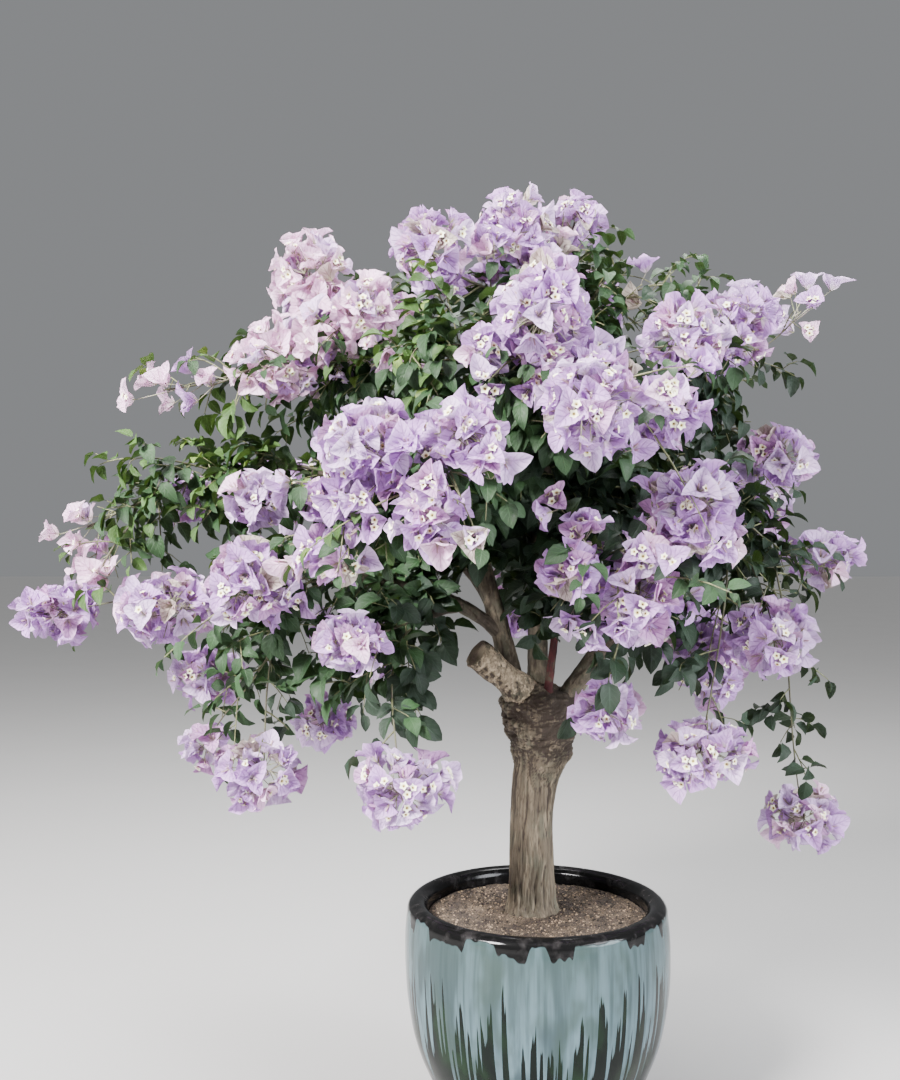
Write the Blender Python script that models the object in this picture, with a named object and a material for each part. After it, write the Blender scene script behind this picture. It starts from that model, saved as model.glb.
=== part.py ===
"""A bougainvillea trained as a small standard tree, in an egg-shaped glazed pot.

Metres, +Z up. The origin is the middle of the pot's flat underside, and the front faces -Y.
A place on the plant is written as (bearing, reach, height): the bearing in degrees seen from
above, 0 at the front and 90 at the right, the reach out from the pot's axis, and the height.

The pot, its soil and the trunk come first. Leaders rise from the trunk's burl and arms from
the leaders, and each ends in a flat tip. Every mass of foliage grows from one stem on such a
tip: the stem ends in a head of bracts, a side stem may carry a second head, and twigs with
leaves stand out by the golden angle. A mass keeps to its own space, and a twig or leaf that
would leave it, or touch anything else, is skipped.
"""

import itertools
import math
import random

import bmesh
import bpy
from mathutils import Euler, Vector
from mathutils.bvhtree import BVHTree
from mathutils.kdtree import KDTree

# ---- driving dimensions (metres) -----------------------------------------------------------

GAP = 0.0003  # clearance between pieces that meet
UP = Vector((0.0, 0.0, 1.0))
GOLDEN_ANGLE = math.radians(137.5)

POT_SIDES = 26
POT_OUTSIDE = (  # (radius, height) up the outer wall
    (0.130, 0.000),
    (0.136, 0.004),
    (0.152, 0.030),
    (0.175, 0.070),
    (0.207, 0.145),
    (0.221, 0.215),
    (0.226, 0.285),
    (0.2235, 0.345),
    (0.2215, 0.360),
)
POT_HEIGHT = 0.380
POT_LIP = 0.034  # thickness of the rounded rim
POT_LIP_STEPS = 4
POT_WALL = 0.020
POT_FLOOR = 0.022
POT_MOUTH = 0.1865  # radius of the opening

SOIL_LEVEL = 0.357  # at the foot of the trunk
SOIL_FALL = 0.006  # how much lower it lies at the rim
SOIL_FLAT = 0.062  # radius of the level part round the trunk

TRUNK_SIDES = 16
TRUNK = (  # (height, radius, sideways place of its centre)
    (SOIL_LEVEL + GAP, 0.0470, -0.0100),
    (0.3700, 0.0425, -0.0098),
    (0.4000, 0.0395, -0.0090),
    (0.4600, 0.0385, -0.0080),
    (0.5400, 0.0378, -0.0056),
    (0.5850, 0.0405, 0.0000),
    (0.6240, 0.0490, 0.0090),
    (0.6550, 0.0600, 0.0100),
    (0.6850, 0.0670, 0.0085),
    (0.7150, 0.0650, 0.0045),
    (0.7350, 0.0520, 0.0030),
    (0.7450, 0.0300, 0.0020),
)
TRUNK_LOBES = 0.05  # how far out of round, as a share of the radius

# Leaders: name, foot in the burl, flat tip, lift of the bow, root radius, tip radius
LEADERS = (
    ("stub_bough", (-58, 0.024, 0.722), (-62, 0.118, 0.803), 0.010, 0.0250, 0.0225),
    ("left_upright", (-95, 0.032, 0.720), (-90, 0.200, 1.260), 0.060, 0.0190, 0.0100),
    ("centre_upright", (150, 0.006, 0.730), (180, 0.010, 1.340), 0.020, 0.0170, 0.0100),
    ("right_bough", (92, 0.040, 0.705), (77, 0.277, 1.000), 0.035, 0.0190, 0.0105),
    ("back_bough", (178, 0.038, 0.710), (176, 0.280, 1.120), 0.060, 0.0170, 0.0100),
    ("red_shoot", (28, 0.032, 0.720), (40, 0.080, 1.020), 0.030, 0.0075, 0.0050),
)

# Arms: name, parent, how far along it, flat tip, lift of the bow, root radius, tip radius
ARMS = (
    ("left_arm", "left_upright", 0.42, (-93, 0.380, 1.110), 0.040, 0.0125, 0.0095),
    ("left_low_arm", "left_upright", 0.20, (-73, 0.355, 0.930), 0.060, 0.0120, 0.0095),
    ("low_left_bough", "left_low_arm", 0.30, (-66, 0.220, 0.862), 0.004, 0.0105, 0.0090),
    ("front_left_arm", "left_upright", 0.55, (-37, 0.315, 1.080), 0.050, 0.0115, 0.0095),
    ("front_arm", "centre_upright", 0.52, (5, 0.240, 1.190), 0.050, 0.0115, 0.0095),
    ("right_upper_arm", "centre_upright", 0.36, (98, 0.220, 1.200), 0.020, 0.0120, 0.0095),
    ("right_front_arm", "right_bough", 0.42, (35, 0.245, 0.970), 0.030, 0.0120, 0.0095),
    ("back_left_arm", "left_upright", 0.30, (-129, 0.385, 1.080), 0.060, 0.0120, 0.0095),
    ("back_right_arm", "right_bough", 0.55, (128, 0.315, 1.090), 0.040, 0.0120, 0.0095),
)
LIMB_SIDES = 7
LIMB_RINGS = 5
ROOT_SWELL = 1.25  # a bough's collar, as a share of its root radius

# Masses: name, bough, main head and side head. A head is (bearing, reach, height, radius),
# and radius 0 ends the stem in leaves.
MASSES = (
    ("crown_top", "centre_upright", (-63, 0.045, 1.520, 0.079), (125, 0.085, 1.550, 0.061)),
    ("crown_left", "centre_upright", (-66, 0.200, 1.470, 0.077), None),
    ("crown_right", "centre_upright", (106, 0.183, 1.415, 0.050), None),
    ("top_left", "left_upright", (-90, 0.390, 1.440, 0.084), (-67, 0.305, 1.370, 0.062)),
    ("left_top", "left_upright", (-83, 0.435, 1.290, 0.081), None),
    ("left_tip", "left_upright", (-90, 0.640, 1.250, 0.046), (-87, 0.550, 1.255, 0.046)),
    ("front_top", "front_arm", (-3, 0.400, 1.310, 0.091), (-15, 0.375, 1.260, 0.044)),
    ("front_mid", "front_arm", (4, 0.460, 1.170, 0.081), (24, 0.395, 1.175, 0.059)),
    ("front_leafy", "front_arm", (-36, 0.340, 1.290, 0.0), None),
    ("front_left", "front_left_arm", (-32, 0.495, 1.120, 0.088), (-40, 0.505, 1.045, 0.060)),
    ("front_centre", "front_left_arm", (-15, 0.495, 1.135, 0.059), (-21, 0.490, 1.025, 0.066)),
    ("front_left_low", "front_left_arm", (-43, 0.490, 0.970, 0.077), None),
    ("front_hang", "low_left_bough", (-42, 0.335, 0.615, 0.079), None),
    ("inner_hang", "low_left_bough", (-50, 0.390, 0.840, 0.059), None),
    ("left_under", "low_left_bough", (-98, 0.375, 0.675, 0.059), None),
    ("left_slope", "left_arm", (-99, 0.625, 1.065, 0.055), (-76, 0.480, 1.060, 0.057)),
    ("far_left_upper", "left_arm", (-90, 0.770, 1.015, 0.044), (-88, 0.740, 0.945, 0.046)),
    ("left_front_low", "left_low_arm", (-61, 0.520, 0.930, 0.073), None),
    ("far_left", "left_low_arm", (-83, 0.790, 0.875, 0.068), (-76, 0.615, 0.885, 0.077)),
    ("left_back_low", "left_low_arm", (-95, 0.570, 0.755, 0.068), None),
    ("left_hang", "left_low_arm", (-71, 0.470, 0.630, 0.069), (-88, 0.560, 0.645, 0.053)),
    ("right_top", "right_upper_arm", (81, 0.330, 1.345, 0.083), (46, 0.290, 1.310, 0.072)),
    ("right_far_top", "right_upper_arm", (96, 0.470, 1.395, 0.055), None),
    ("right_mid", "right_upper_arm", (90, 0.415, 1.135, 0.072), None),
    ("right_front", "right_front_arm", (31, 0.385, 1.040, 0.070), None),
    ("right_front_low", "right_front_arm", (20, 0.350, 0.905, 0.073), (3, 0.360, 0.950, 0.046)),
    ("right_under", "right_front_arm", (25, 0.220, 0.730, 0.062), None),
    ("right_out", "right_bough", (68, 0.395, 0.840, 0.090), (90, 0.490, 0.960, 0.064)),
    ("right_low", "right_bough", (50, 0.310, 0.665, 0.075), (79, 0.270, 0.810, 0.068)),
    ("right_hang", "right_bough", (84, 0.447, 0.525, 0.070), None),
    ("inner_right", "red_shoot", (42, 0.200, 1.110, 0.0), None),
    ("back_top", "back_bough", (180, 0.330, 1.380, 0.077), (150, 0.250, 1.440, 0.061)),
    ("back_mid", "back_bough", (172, 0.530, 1.150, 0.086), (192, 0.500, 1.050, 0.066)),
    ("back_low", "back_bough", (180, 0.440, 0.860, 0.077), None),
    ("back_left_top", "back_left_arm", (-140, 0.420, 1.330, 0.079), None),
    ("back_left_mid", "back_left_arm", (-125, 0.640, 1.090, 0.077), (-140, 0.580, 1.000, 0.066)),
    ("back_left_low", "back_left_arm", (-138, 0.500, 0.760, 0.075), None),
    ("back_right_top", "back_right_arm", (130, 0.390, 1.330, 0.077), None),
    ("back_right_mid", "back_right_arm", (118, 0.500, 1.060, 0.077), (140, 0.490, 0.980, 0.064)),
    ("back_right_low", "back_right_arm", (125, 0.440, 0.740, 0.073), None),
)

STEM_ROOT = 0.0032
STEM_TIP = 0.0018
STEM_RINGS = 5
SIDE_STEM_ROOT = 0.0022
SIDE_STEM_RINGS = 4
SIDE_STEM_AT = 0.45  # where a side stem leaves its stem
TWIG_ROOT = 0.0017
TWIG_TIP = 0.0011
TWIG_SIDES = 3
TWIGS = 4  # main twigs on a stem, one fewer with a side stem
TWIG_LENGTH = 0.120
TWIG_TRIES = 4  # turns that a twig tries before it is skipped
LEAF_LENGTH = 0.086
LEAF_WIDTH = 0.62  # share of its length
LEAF_THICKNESS = 0.022  # share of its length
LEAF_FOLD = 0.10  # how far its edges are lifted, share of its length
LEAF_SINK = 0.0012  # how far its root is sunk past the twig's axis
SIDE_LEAVES = 2  # how many of a mass's twigs bear a leaf at their side too
LEAF_KEEL = 0.025  # depth of the keel under an end leaf, share of its length
CLEARANCE = 0.0008  # least distance between a mass and anything else
RAY_STEP = 0.00001  # how far past a surface the next ray starts
HEAD_ROOM = 0.002  # between two masses' heads
HEAD_HOLLOW = 0.64  # hollows between a head's bracts, share of its radius
HEAD_TIP = 0.86  # shortest bract tip, share of its radius

GLAZE = (0.115, 0.155, 0.160)
SOIL = (0.145, 0.108, 0.080)
BARK = (0.160, 0.130, 0.092)
YOUNG_BARK = (0.120, 0.080, 0.055)
RED_BARK = (0.090, 0.030, 0.028)
BLOOM = (0.430, 0.310, 0.480)
FOLIAGE = (0.045, 0.085, 0.030)


# ---- curves and solids ---------------------------------------------------------------------


def place(bearing, reach, height):
    turn = math.radians(bearing)
    return Vector((reach * math.sin(turn), -reach * math.cos(turn), height))


def along(points, share):
    """The point at this share of a Bezier curve with any number of control points."""
    points = list(points)
    while len(points) > 1:
        points = [a.lerp(b, share) for a, b in zip(points, points[1:])]
    return points[0]


def heading(points, share):
    step = 0.01
    ahead = along(points, min(share + step, 1.0))
    behind = along(points, max(share - step, 0.0))
    return (ahead - behind).normalized()


def sideways(direction):
    """A level direction square to this one."""
    level = direction.cross(UP)
    return level.normalized() if level.length > 0.1 else Vector((1.0, 0.0, 0.0))


def signed_volume(solid):
    points, faces = solid
    total = 0.0
    for face in faces:
        for second, third in zip(face[1:], face[2:]):
            total += points[face[0]].dot(points[second].cross(points[third]))
    return total / 6.0


def facing_out(solid):
    points, faces = solid
    if signed_volume(solid) < 0.0:
        faces = [tuple(reversed(face)) for face in faces]
    return points, faces


def tube(stations, sides):
    """A closed tube through (centre, direction, radius) stations, with flat ends."""
    points, faces = [], []
    across = sideways(stations[0][1])
    for centre, direction, radius in stations:
        across = (across - direction * across.dot(direction)).normalized()
        upward = direction.cross(across)
        for side in range(sides):
            turn = 2 * math.pi * side / sides
            offset = across * math.cos(turn) + upward * math.sin(turn)
            points.append(centre + offset * radius)
    for ring in range(len(stations) - 1):
        for side in range(sides):
            here = ring * sides + side
            beside = ring * sides + (side + 1) % sides
            faces.append((here, beside, beside + sides, here + sides))
    last = (len(stations) - 1) * sides
    faces.append(tuple(reversed(range(sides))))
    faces.append(tuple(range(last, last + sides)))
    return facing_out((points, faces))


def curve_stations(curve, rings, root, tip):
    """Evenly spaced stations along a curve, tapering from the root radius to the tip's."""
    shares = [ring / (rings - 1) for ring in range(rings)]
    return [(along(curve, s), heading(curve, s), root + (tip - root) * s) for s in shares]


def leaf(root, direction, upward, length):
    """A folded blade of eight faces. Its root lies just past the twig's axis."""
    direction = direction.normalized()
    across = direction.cross(upward).normalized()
    upward = across.cross(direction)
    middle = root + direction * length * 0.42
    edge = across * length * LEAF_WIDTH / 2
    lift = upward * length * LEAF_FOLD
    half = upward * length * LEAF_THICKNESS / 2
    points = [
        root - direction * LEAF_SINK,
        root + direction * length - lift * 0.8,
        middle + edge + lift,
        middle - edge + lift,
        middle + half,
        middle - half,
    ]
    base, tip, left, right, top, bottom = range(6)
    faces = [
        (base, top, left),
        (left, top, tip),
        (tip, top, right),
        (right, top, base),
        (base, left, bottom),
        (left, tip, bottom),
        (tip, right, bottom),
        (right, base, bottom),
    ]
    return facing_out((points, faces))


def sprig(curve, root, tip, length, roll):
    """A three-sided twig that widens at its end into a keeled leaf, as one closed solid."""
    points, faces = [], []
    for share in (0.0, 0.5, 1.0):
        direction = heading(curve, share)
        across = sideways(direction)
        upward = across.cross(direction)
        half = root + (tip - root) * share
        centre = along(curve, share)
        points += [centre + across * half + upward * half * 0.6]
        points += [centre - across * half + upward * half * 0.6, centre - upward * half]
    across = across * math.cos(roll) + upward * math.sin(roll)
    upward = across.cross(direction)
    middle = centre + direction * length * 0.42
    lift = upward * length * LEAF_FOLD
    points += [middle + across * length * LEAF_WIDTH / 2 + lift * 0.5]
    points += [middle - across * length * LEAF_WIDTH / 2 + lift * 0.5]
    points += [middle - upward * length * LEAF_KEEL]
    points.append(centre + direction * length - lift * 0.8)
    for ring in range(0, 9, 3):
        for side in range(3):
            here, beside = ring + side, ring + (side + 1) % 3
            faces += [(here, beside, beside + 3), (here, beside + 3, here + 3)]
    faces += [(9, 10, 12), (10, 11, 12), (11, 9, 12), (2, 1, 0)]
    return facing_out((points, faces))


def head_core():
    """The corners and faces of an icosahedron, with corners one unit from its middle."""
    mesh = bmesh.new()
    bmesh.ops.create_icosphere(mesh, subdivisions=1, radius=1.0)
    corners = [vert.co.normalized() for vert in mesh.verts]
    faces = [tuple(vert.index for vert in face.verts) for face in mesh.faces]
    mesh.free()
    return corners, faces


def head(centre, radius, rng):
    """A ball of bracts: a pointed tip over each face of its core, and hollows between them."""
    corners, faces = head_core()
    tumble = Euler([rng.uniform(0, 2 * math.pi) for _ in range(3)]).to_matrix()
    corners = [tumble @ corner for corner in corners]
    points = [centre + corner * radius * HEAD_HOLLOW for corner in corners]
    sides = []
    for face in faces:
        shares = [rng.uniform(0.6, 1.4) for _ in face]
        tip = sum((corners[index] * share for index, share in zip(face, shares)), Vector())
        first = len(points)
        points.append(centre + tip.normalized() * radius * rng.uniform(HEAD_TIP, 1.0))
        sides += [(face[step], face[(step + 1) % 3], first) for step in range(3)]
    return facing_out((points, sides))


# ---- Blender objects -----------------------------------------------------------------------


def clear_scene():
    for obj in list(bpy.data.objects):
        bpy.data.objects.remove(obj, do_unlink=True)


def finish(name, colour, roughness):
    material = bpy.data.materials.new(name)
    material.use_nodes = True
    shader = material.node_tree.nodes["Principled BSDF"]
    shader.inputs["Base Color"].default_value = (*colour, 1.0)
    shader.inputs["Roughness"].default_value = roughness
    shader.inputs["Metallic"].default_value = 0.0
    return material


def make_object(name, solid, material=None, smooth=False):
    points, faces = solid
    mesh = bpy.data.meshes.new(name)
    mesh.from_pydata([tuple(point) for point in points], [], faces)
    if material:
        mesh.materials.append(material)
    if smooth:
        mesh.shade_smooth()
        mesh.set_sharp_from_angle(angle=math.radians(40))
    obj = bpy.data.objects.new(name, mesh)
    bpy.context.scene.collection.objects.link(obj)
    return obj


def solid_of(obj):
    return [v.co.copy() for v in obj.data.vertices], [tuple(p.vertices) for p in obj.data.polygons]


def combine(obj, solids, operation, solver):
    """Joins these solids to the object, or cuts them from it, in one Boolean."""
    helpers = bpy.data.collections.new("helpers")
    bpy.context.scene.collection.children.link(helpers)
    for solid in solids:
        helper = make_object("helper", solid)
        bpy.context.scene.collection.objects.unlink(helper)
        helpers.objects.link(helper)
    boolean = obj.modifiers.new("combine", "BOOLEAN")
    boolean.operation = operation
    boolean.operand_type = "COLLECTION"
    boolean.collection = helpers
    boolean.solver = solver
    bpy.context.view_layer.objects.active = obj
    bpy.ops.object.modifier_apply(modifier=boolean.name)
    for helper in list(helpers.objects):
        mesh = helper.data
        bpy.data.objects.remove(helper, do_unlink=True)
        bpy.data.meshes.remove(mesh)
    bpy.data.collections.remove(helpers)
    keep_main_shell(obj)


def shells(mesh):
    """The mesh's faces in connected groups."""
    waiting = set(mesh.faces)
    while waiting:
        group, edge = [], [waiting.pop()]
        while edge:
            face = edge.pop()
            group.append(face)
            beside = {near for rim in face.edges for near in rim.link_faces} & waiting
            waiting -= beside
            edge.extend(beside)
        yield group


def shell_volume(group):
    total = 0.0
    for face in group:
        corners = [vert.co for vert in face.verts]
        for second, third in zip(corners[1:], corners[2:]):
            total += corners[0].dot(second.cross(third))
    return total


def keep_main_shell(obj):
    """Drops loose scraps and fills sealed hollows: only the largest outer shell stays."""
    mesh = bmesh.new()
    mesh.from_mesh(obj.data)
    groups = sorted(shells(mesh), key=shell_volume)
    spare = [face for group in groups[:-1] for face in group]
    if spare:
        bmesh.ops.delete(mesh, geom=spare, context="FACES")
    bmesh.ops.triangulate(mesh, faces=mesh.faces[:])
    mesh.to_mesh(obj.data)
    mesh.free()


def inflated(obj, distance):
    """The object's surface moved outwards, as a cutter that leaves a clearance."""
    mesh = bmesh.new()
    mesh.from_mesh(obj.data)
    bmesh.ops.recalc_face_normals(mesh, faces=mesh.faces[:])
    mesh.normal_update()
    points = [vert.co + vert.normal * distance * vert.calc_shell_factor() for vert in mesh.verts]
    faces = [tuple(vert.index for vert in face.verts) for face in mesh.faces]
    mesh.free()
    return points, faces


def turned(name, profile, sides, material):
    """A solid turned round the Z axis, from a profile that starts and ends on the axis."""
    mesh = bmesh.new()
    verts = [mesh.verts.new((radius, 0.0, height)) for radius, height in profile]
    edges = [mesh.edges.new(pair) for pair in zip(verts, verts[1:])]
    turn = 2 * math.pi
    bmesh.ops.spin(mesh, geom=verts + edges, axis=UP, cent=(0, 0, 0), steps=sides, angle=turn)
    bmesh.ops.remove_doubles(mesh, verts=mesh.verts[:], dist=0.00001)
    bmesh.ops.recalc_face_normals(mesh, faces=mesh.faces[:])
    data = bpy.data.meshes.new(name)
    mesh.to_mesh(data)
    mesh.free()
    data.materials.append(material)
    data.shade_smooth()
    data.set_sharp_from_angle(angle=math.radians(40))
    obj = bpy.data.objects.new(name, data)
    bpy.context.scene.collection.objects.link(obj)
    return obj


# ---- pot, soil and trunk -------------------------------------------------------------------


def pot_lip():
    """The rounded rim, from the outer wall over the top to the mouth."""
    outer = POT_OUTSIDE[-1][0]
    half = (outer - POT_MOUTH) / 2
    rise = POT_HEIGHT - POT_OUTSIDE[-1][1]
    middle = POT_MOUTH + half
    turns = [math.pi * step / POT_LIP_STEPS for step in range(1, POT_LIP_STEPS)]
    arc = [(middle + half * math.cos(t), POT_HEIGHT - rise * (1 - math.sin(t))) for t in turns]
    return arc + [(POT_MOUTH, POT_HEIGHT - rise)]


def pot_inside():
    """The inner wall, down from under the lip to the floor."""
    below_lip = POT_HEIGHT - POT_LIP
    outside = reversed(POT_OUTSIDE[2::2])
    wall = [(radius - POT_WALL, height) for radius, height in outside if height < below_lip]
    floor = (POT_OUTSIDE[2][0] - POT_WALL * 1.2, POT_FLOOR)
    return wall + [floor]


def make_pot(material):
    profile = [(0.0, 0.0), *POT_OUTSIDE, *pot_lip(), *pot_inside(), (0.0, POT_FLOOR)]
    return turned("pot", profile, POT_SIDES, material)


def make_soil(material):
    """The soil fills the pot, and its top falls gently from the trunk to the rim."""
    wall = [(radius - GAP * 2, height) for radius, height in reversed(pot_inside())]
    wall[0] = (wall[0][0], POT_FLOOR + GAP)
    edge = POT_MOUTH - GAP * 2
    shoulder = SOIL_LEVEL - SOIL_FALL
    top = [(edge, shoulder), (0.120, SOIL_LEVEL - SOIL_FALL * 0.45), (SOIL_FLAT, SOIL_LEVEL)]
    profile = [(0.0, POT_FLOOR + GAP), *wall, *top, (0.0, SOIL_LEVEL)]
    return turned("soil", profile, POT_SIDES, material)


def make_trunk(material):
    """The trunk leans a little, flares at its foot and swells into the burl at its head."""
    points, faces = [], []
    for height, radius, lean in TRUNK:
        for side in range(TRUNK_SIDES):
            turn = 2 * math.pi * side / TRUNK_SIDES
            lobes = math.sin(3 * turn + 9 * height) + 0.6 * math.sin(5 * turn - 14 * height)
            out = radius * (1 + TRUNK_LOBES * lobes)
            points.append(Vector((lean + out * math.cos(turn), out * math.sin(turn), height)))
    for ring in range(len(TRUNK) - 1):
        for side in range(TRUNK_SIDES):
            here = ring * TRUNK_SIDES + side
            beside = ring * TRUNK_SIDES + (side + 1) % TRUNK_SIDES
            faces.append((here, beside, beside + TRUNK_SIDES, here + TRUNK_SIDES))
    last = len(points) - TRUNK_SIDES
    faces.append(tuple(reversed(range(TRUNK_SIDES))))
    faces.append(tuple(range(last, last + TRUNK_SIDES)))
    return make_object("trunk", facing_out((points, faces)), material, smooth=True)


# ---- boughs --------------------------------------------------------------------------------


def bough_curve(foot, tip, bow):
    return [foot, foot.lerp(tip, 0.42) + UP * bow, tip]


def bough_curves():
    """The centre line of each bough, by name."""
    curves = {}
    for name, foot, tip, bow, _root, _end in LEADERS:
        curves[name] = bough_curve(place(*foot), place(*tip), bow)
    for name, parent, share, tip, bow, _root, _end in ARMS:
        curves[name] = bough_curve(along(curves[parent], share), place(*tip), bow)
    return curves


def bough_radii():
    leaders = {name: radii for name, _foot, _tip, _bow, *radii in LEADERS}
    arms = {name: radii for name, _parent, _share, _tip, _bow, *radii in ARMS}
    return {**leaders, **arms}


def bough_solid(curve, root, tip):
    """A tapering limb with a collar at its root and a flat tip."""
    stations = curve_stations(curve, LIMB_RINGS, root, tip)
    centre, direction, _radius = stations[0]
    stations[0] = (centre, direction, root * ROOT_SWELL)
    return tube(stations, LIMB_SIDES)


def make_boughs(trunk, curves, radii, materials):
    """Each bough is cut clear of the trunk and of the boughs made before it."""
    made = [trunk]
    for name, curve in curves.items():
        material = materials["red"] if name == "red_shoot" else materials["young"]
        obj = make_object(name, bough_solid(curve, *radii[name]), material)
        for earlier in made:
            combine(obj, [inflated(earlier, GAP)], "DIFFERENCE", "EXACT")
        made.append(obj)
    return made


# ---- masses of foliage ---------------------------------------------------------------------


class Obstacles:
    """Solids that a new one may not touch."""

    def __init__(self, solids):
        self.points, self.faces = [], []
        for solid in solids:
            self.add(solid)

    def add(self, solid):
        points, faces = solid
        first = len(self.points)
        self.points += points
        self.faces += [tuple(index + first for index in face) for face in faces]
        self.tree = None

    def touches(self, solid, seated=0):
        """True where the solid comes too near. Its first points may be seated on a tip."""
        if self.tree is None:
            self.tree = BVHTree.FromPolygons(self.points, self.faces)
        points, faces = solid
        if self.tree.overlap(BVHTree.FromPolygons(points, faces)):
            return True
        free = points[seated:]
        close = any(self.tree.find_nearest(point)[3] < CLEARANCE for point in free)
        return close or self.holds(free[-1])

    def holds(self, point):
        """True inside a solid: a ray upwards then leaves one more surface than it enters."""
        depth = 0
        while True:
            spot, normal, _index, _distance = self.tree.ray_cast(point, UP)
            if spot is None:
                return depth > 0
            depth += 1 if normal.z > 0 else -1
            point = spot + UP * RAY_STEP


def slot_starts(boughs, curves, radii):
    """Where each mass's stem starts: side by side on its bough's flat tip."""
    starts = {}
    for bough in dict.fromkeys(boughs):
        rows = [row for row in MASSES if row[1] == bough]
        tip, direction = curves[bough][-1], heading(curves[bough], 1.0)
        across = sideways(direction)
        upward = direction.cross(across)

        def bearing_round_tip(row):
            towards = place(*row[2][:3]) - tip
            return math.atan2(towards.dot(upward), towards.dot(across))

        rows.sort(key=bearing_round_tip)
        ring = radii[bough][1] * (0.62 if len(rows) > 1 else 0.0)
        first = bearing_round_tip(rows[0])
        for index, row in enumerate(rows):
            turn = first + 2 * math.pi * index / len(rows)
            offset = (across * math.cos(turn) + upward * math.sin(turn)) * ring
            starts[row[0]] = (tip + offset + direction * GAP, direction)
    return starts


def stem_curve(start, direction, end, bend):
    """Leaves along its bough, then arches: a low end is reached from above, as it weeps."""
    span = (end - start).length
    slope = (end.z - start.z) / span
    outward = Vector((end.x - start.x, end.y - start.y, 0.0)).normalized()
    arrival = (outward * (1.0 - abs(slope)) + UP * slope).normalized()
    return [start, start + direction * span * 0.4 + bend, end - arrival * span * 0.35 + bend, end]


def stem_solid(start, direction, curve, root, tip, rings):
    stations = curve_stations(curve, rings, root, tip)
    stations[0] = (start, direction, root)
    return tube(stations, TWIG_SIDES)


def clear_stem(start, direction, end, root, obstacles, rng, rings):
    """The stem's curve and solid, bent aside by growing amounts until it is clear."""
    bend = Vector()
    for attempt in range(60):
        curve = stem_curve(start, direction, end, bend)
        solid = stem_solid(start, direction, curve, root, STEM_TIP, rings)
        if not obstacles.touches(solid, seated=TWIG_SIDES):
            return curve, solid
        reach = 0.004 * (attempt + 1)
        bend = Vector([rng.uniform(-reach, reach) for _ in range(3)])
    raise RuntimeError(f"the stem towards {tuple(end)} finds no clear way")


def head_places():
    """Each mass's heads as [centre, radius], shrunk evenly where two masses' heads would meet."""
    heads = {}
    for name, _bough, *ends in MASSES:
        heads[name] = [[place(*end[:3]), end[3]] for end in ends if end]
    pairs = [(a, b) for a, b in itertools.combinations(heads, 2)]
    for first, second in pairs * 2:
        for one, other in itertools.product(heads[first], heads[second]):
            room = (one[0] - other[0]).length / (one[1] + other[1] + HEAD_ROOM)
            if one[1] and other[1] and room < 1.0:
                one[1] *= room
                other[1] *= room
    return heads


def clear_head(centre, radius, obstacles, name):
    """The head's solid, shrunk a little at a time until it is clear."""
    for step in range(12):
        solid = head(centre, radius * 0.95**step, random.Random(name))
        if not obstacles.touches(solid):
            return solid
    raise RuntimeError(name + " finds no clear place")


def twig_starts(count, rng):
    """Where main twigs leave a stem, as (share along it, turn round it)."""
    first = rng.uniform(0, 2 * math.pi)
    for index in range(count):
        yield 0.30 + 0.62 * index / (count - 1), first + GOLDEN_ANGLE * index


def twig_curve(stem, share, turn, length):
    """A twig rises off its stem at an angle, then droops."""
    start, forward = along(stem, share), heading(stem, share)
    across = sideways(forward)
    upward = forward.cross(across)
    outward = across * math.cos(turn) + upward * math.sin(turn)
    direction = (forward * 0.55 + outward * 0.85 + UP * 0.15).normalized()
    bend = start + direction * length * 0.55
    return [start, bend, start + direction * length - UP * length * 0.22]


def leaf_on(curve, share, side, length, rng):
    """A leaf beside its twig, with its upper face towards the sky."""
    forward = heading(curve, share)
    across = sideways(forward) * side
    direction = forward * 0.7 + across * 0.75 - UP * rng.uniform(0.0, 0.45)
    upward = UP + Vector([rng.uniform(-0.45, 0.45) for _ in range(3)])
    return leaf(along(curve, share), direction, upward, length)


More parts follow.
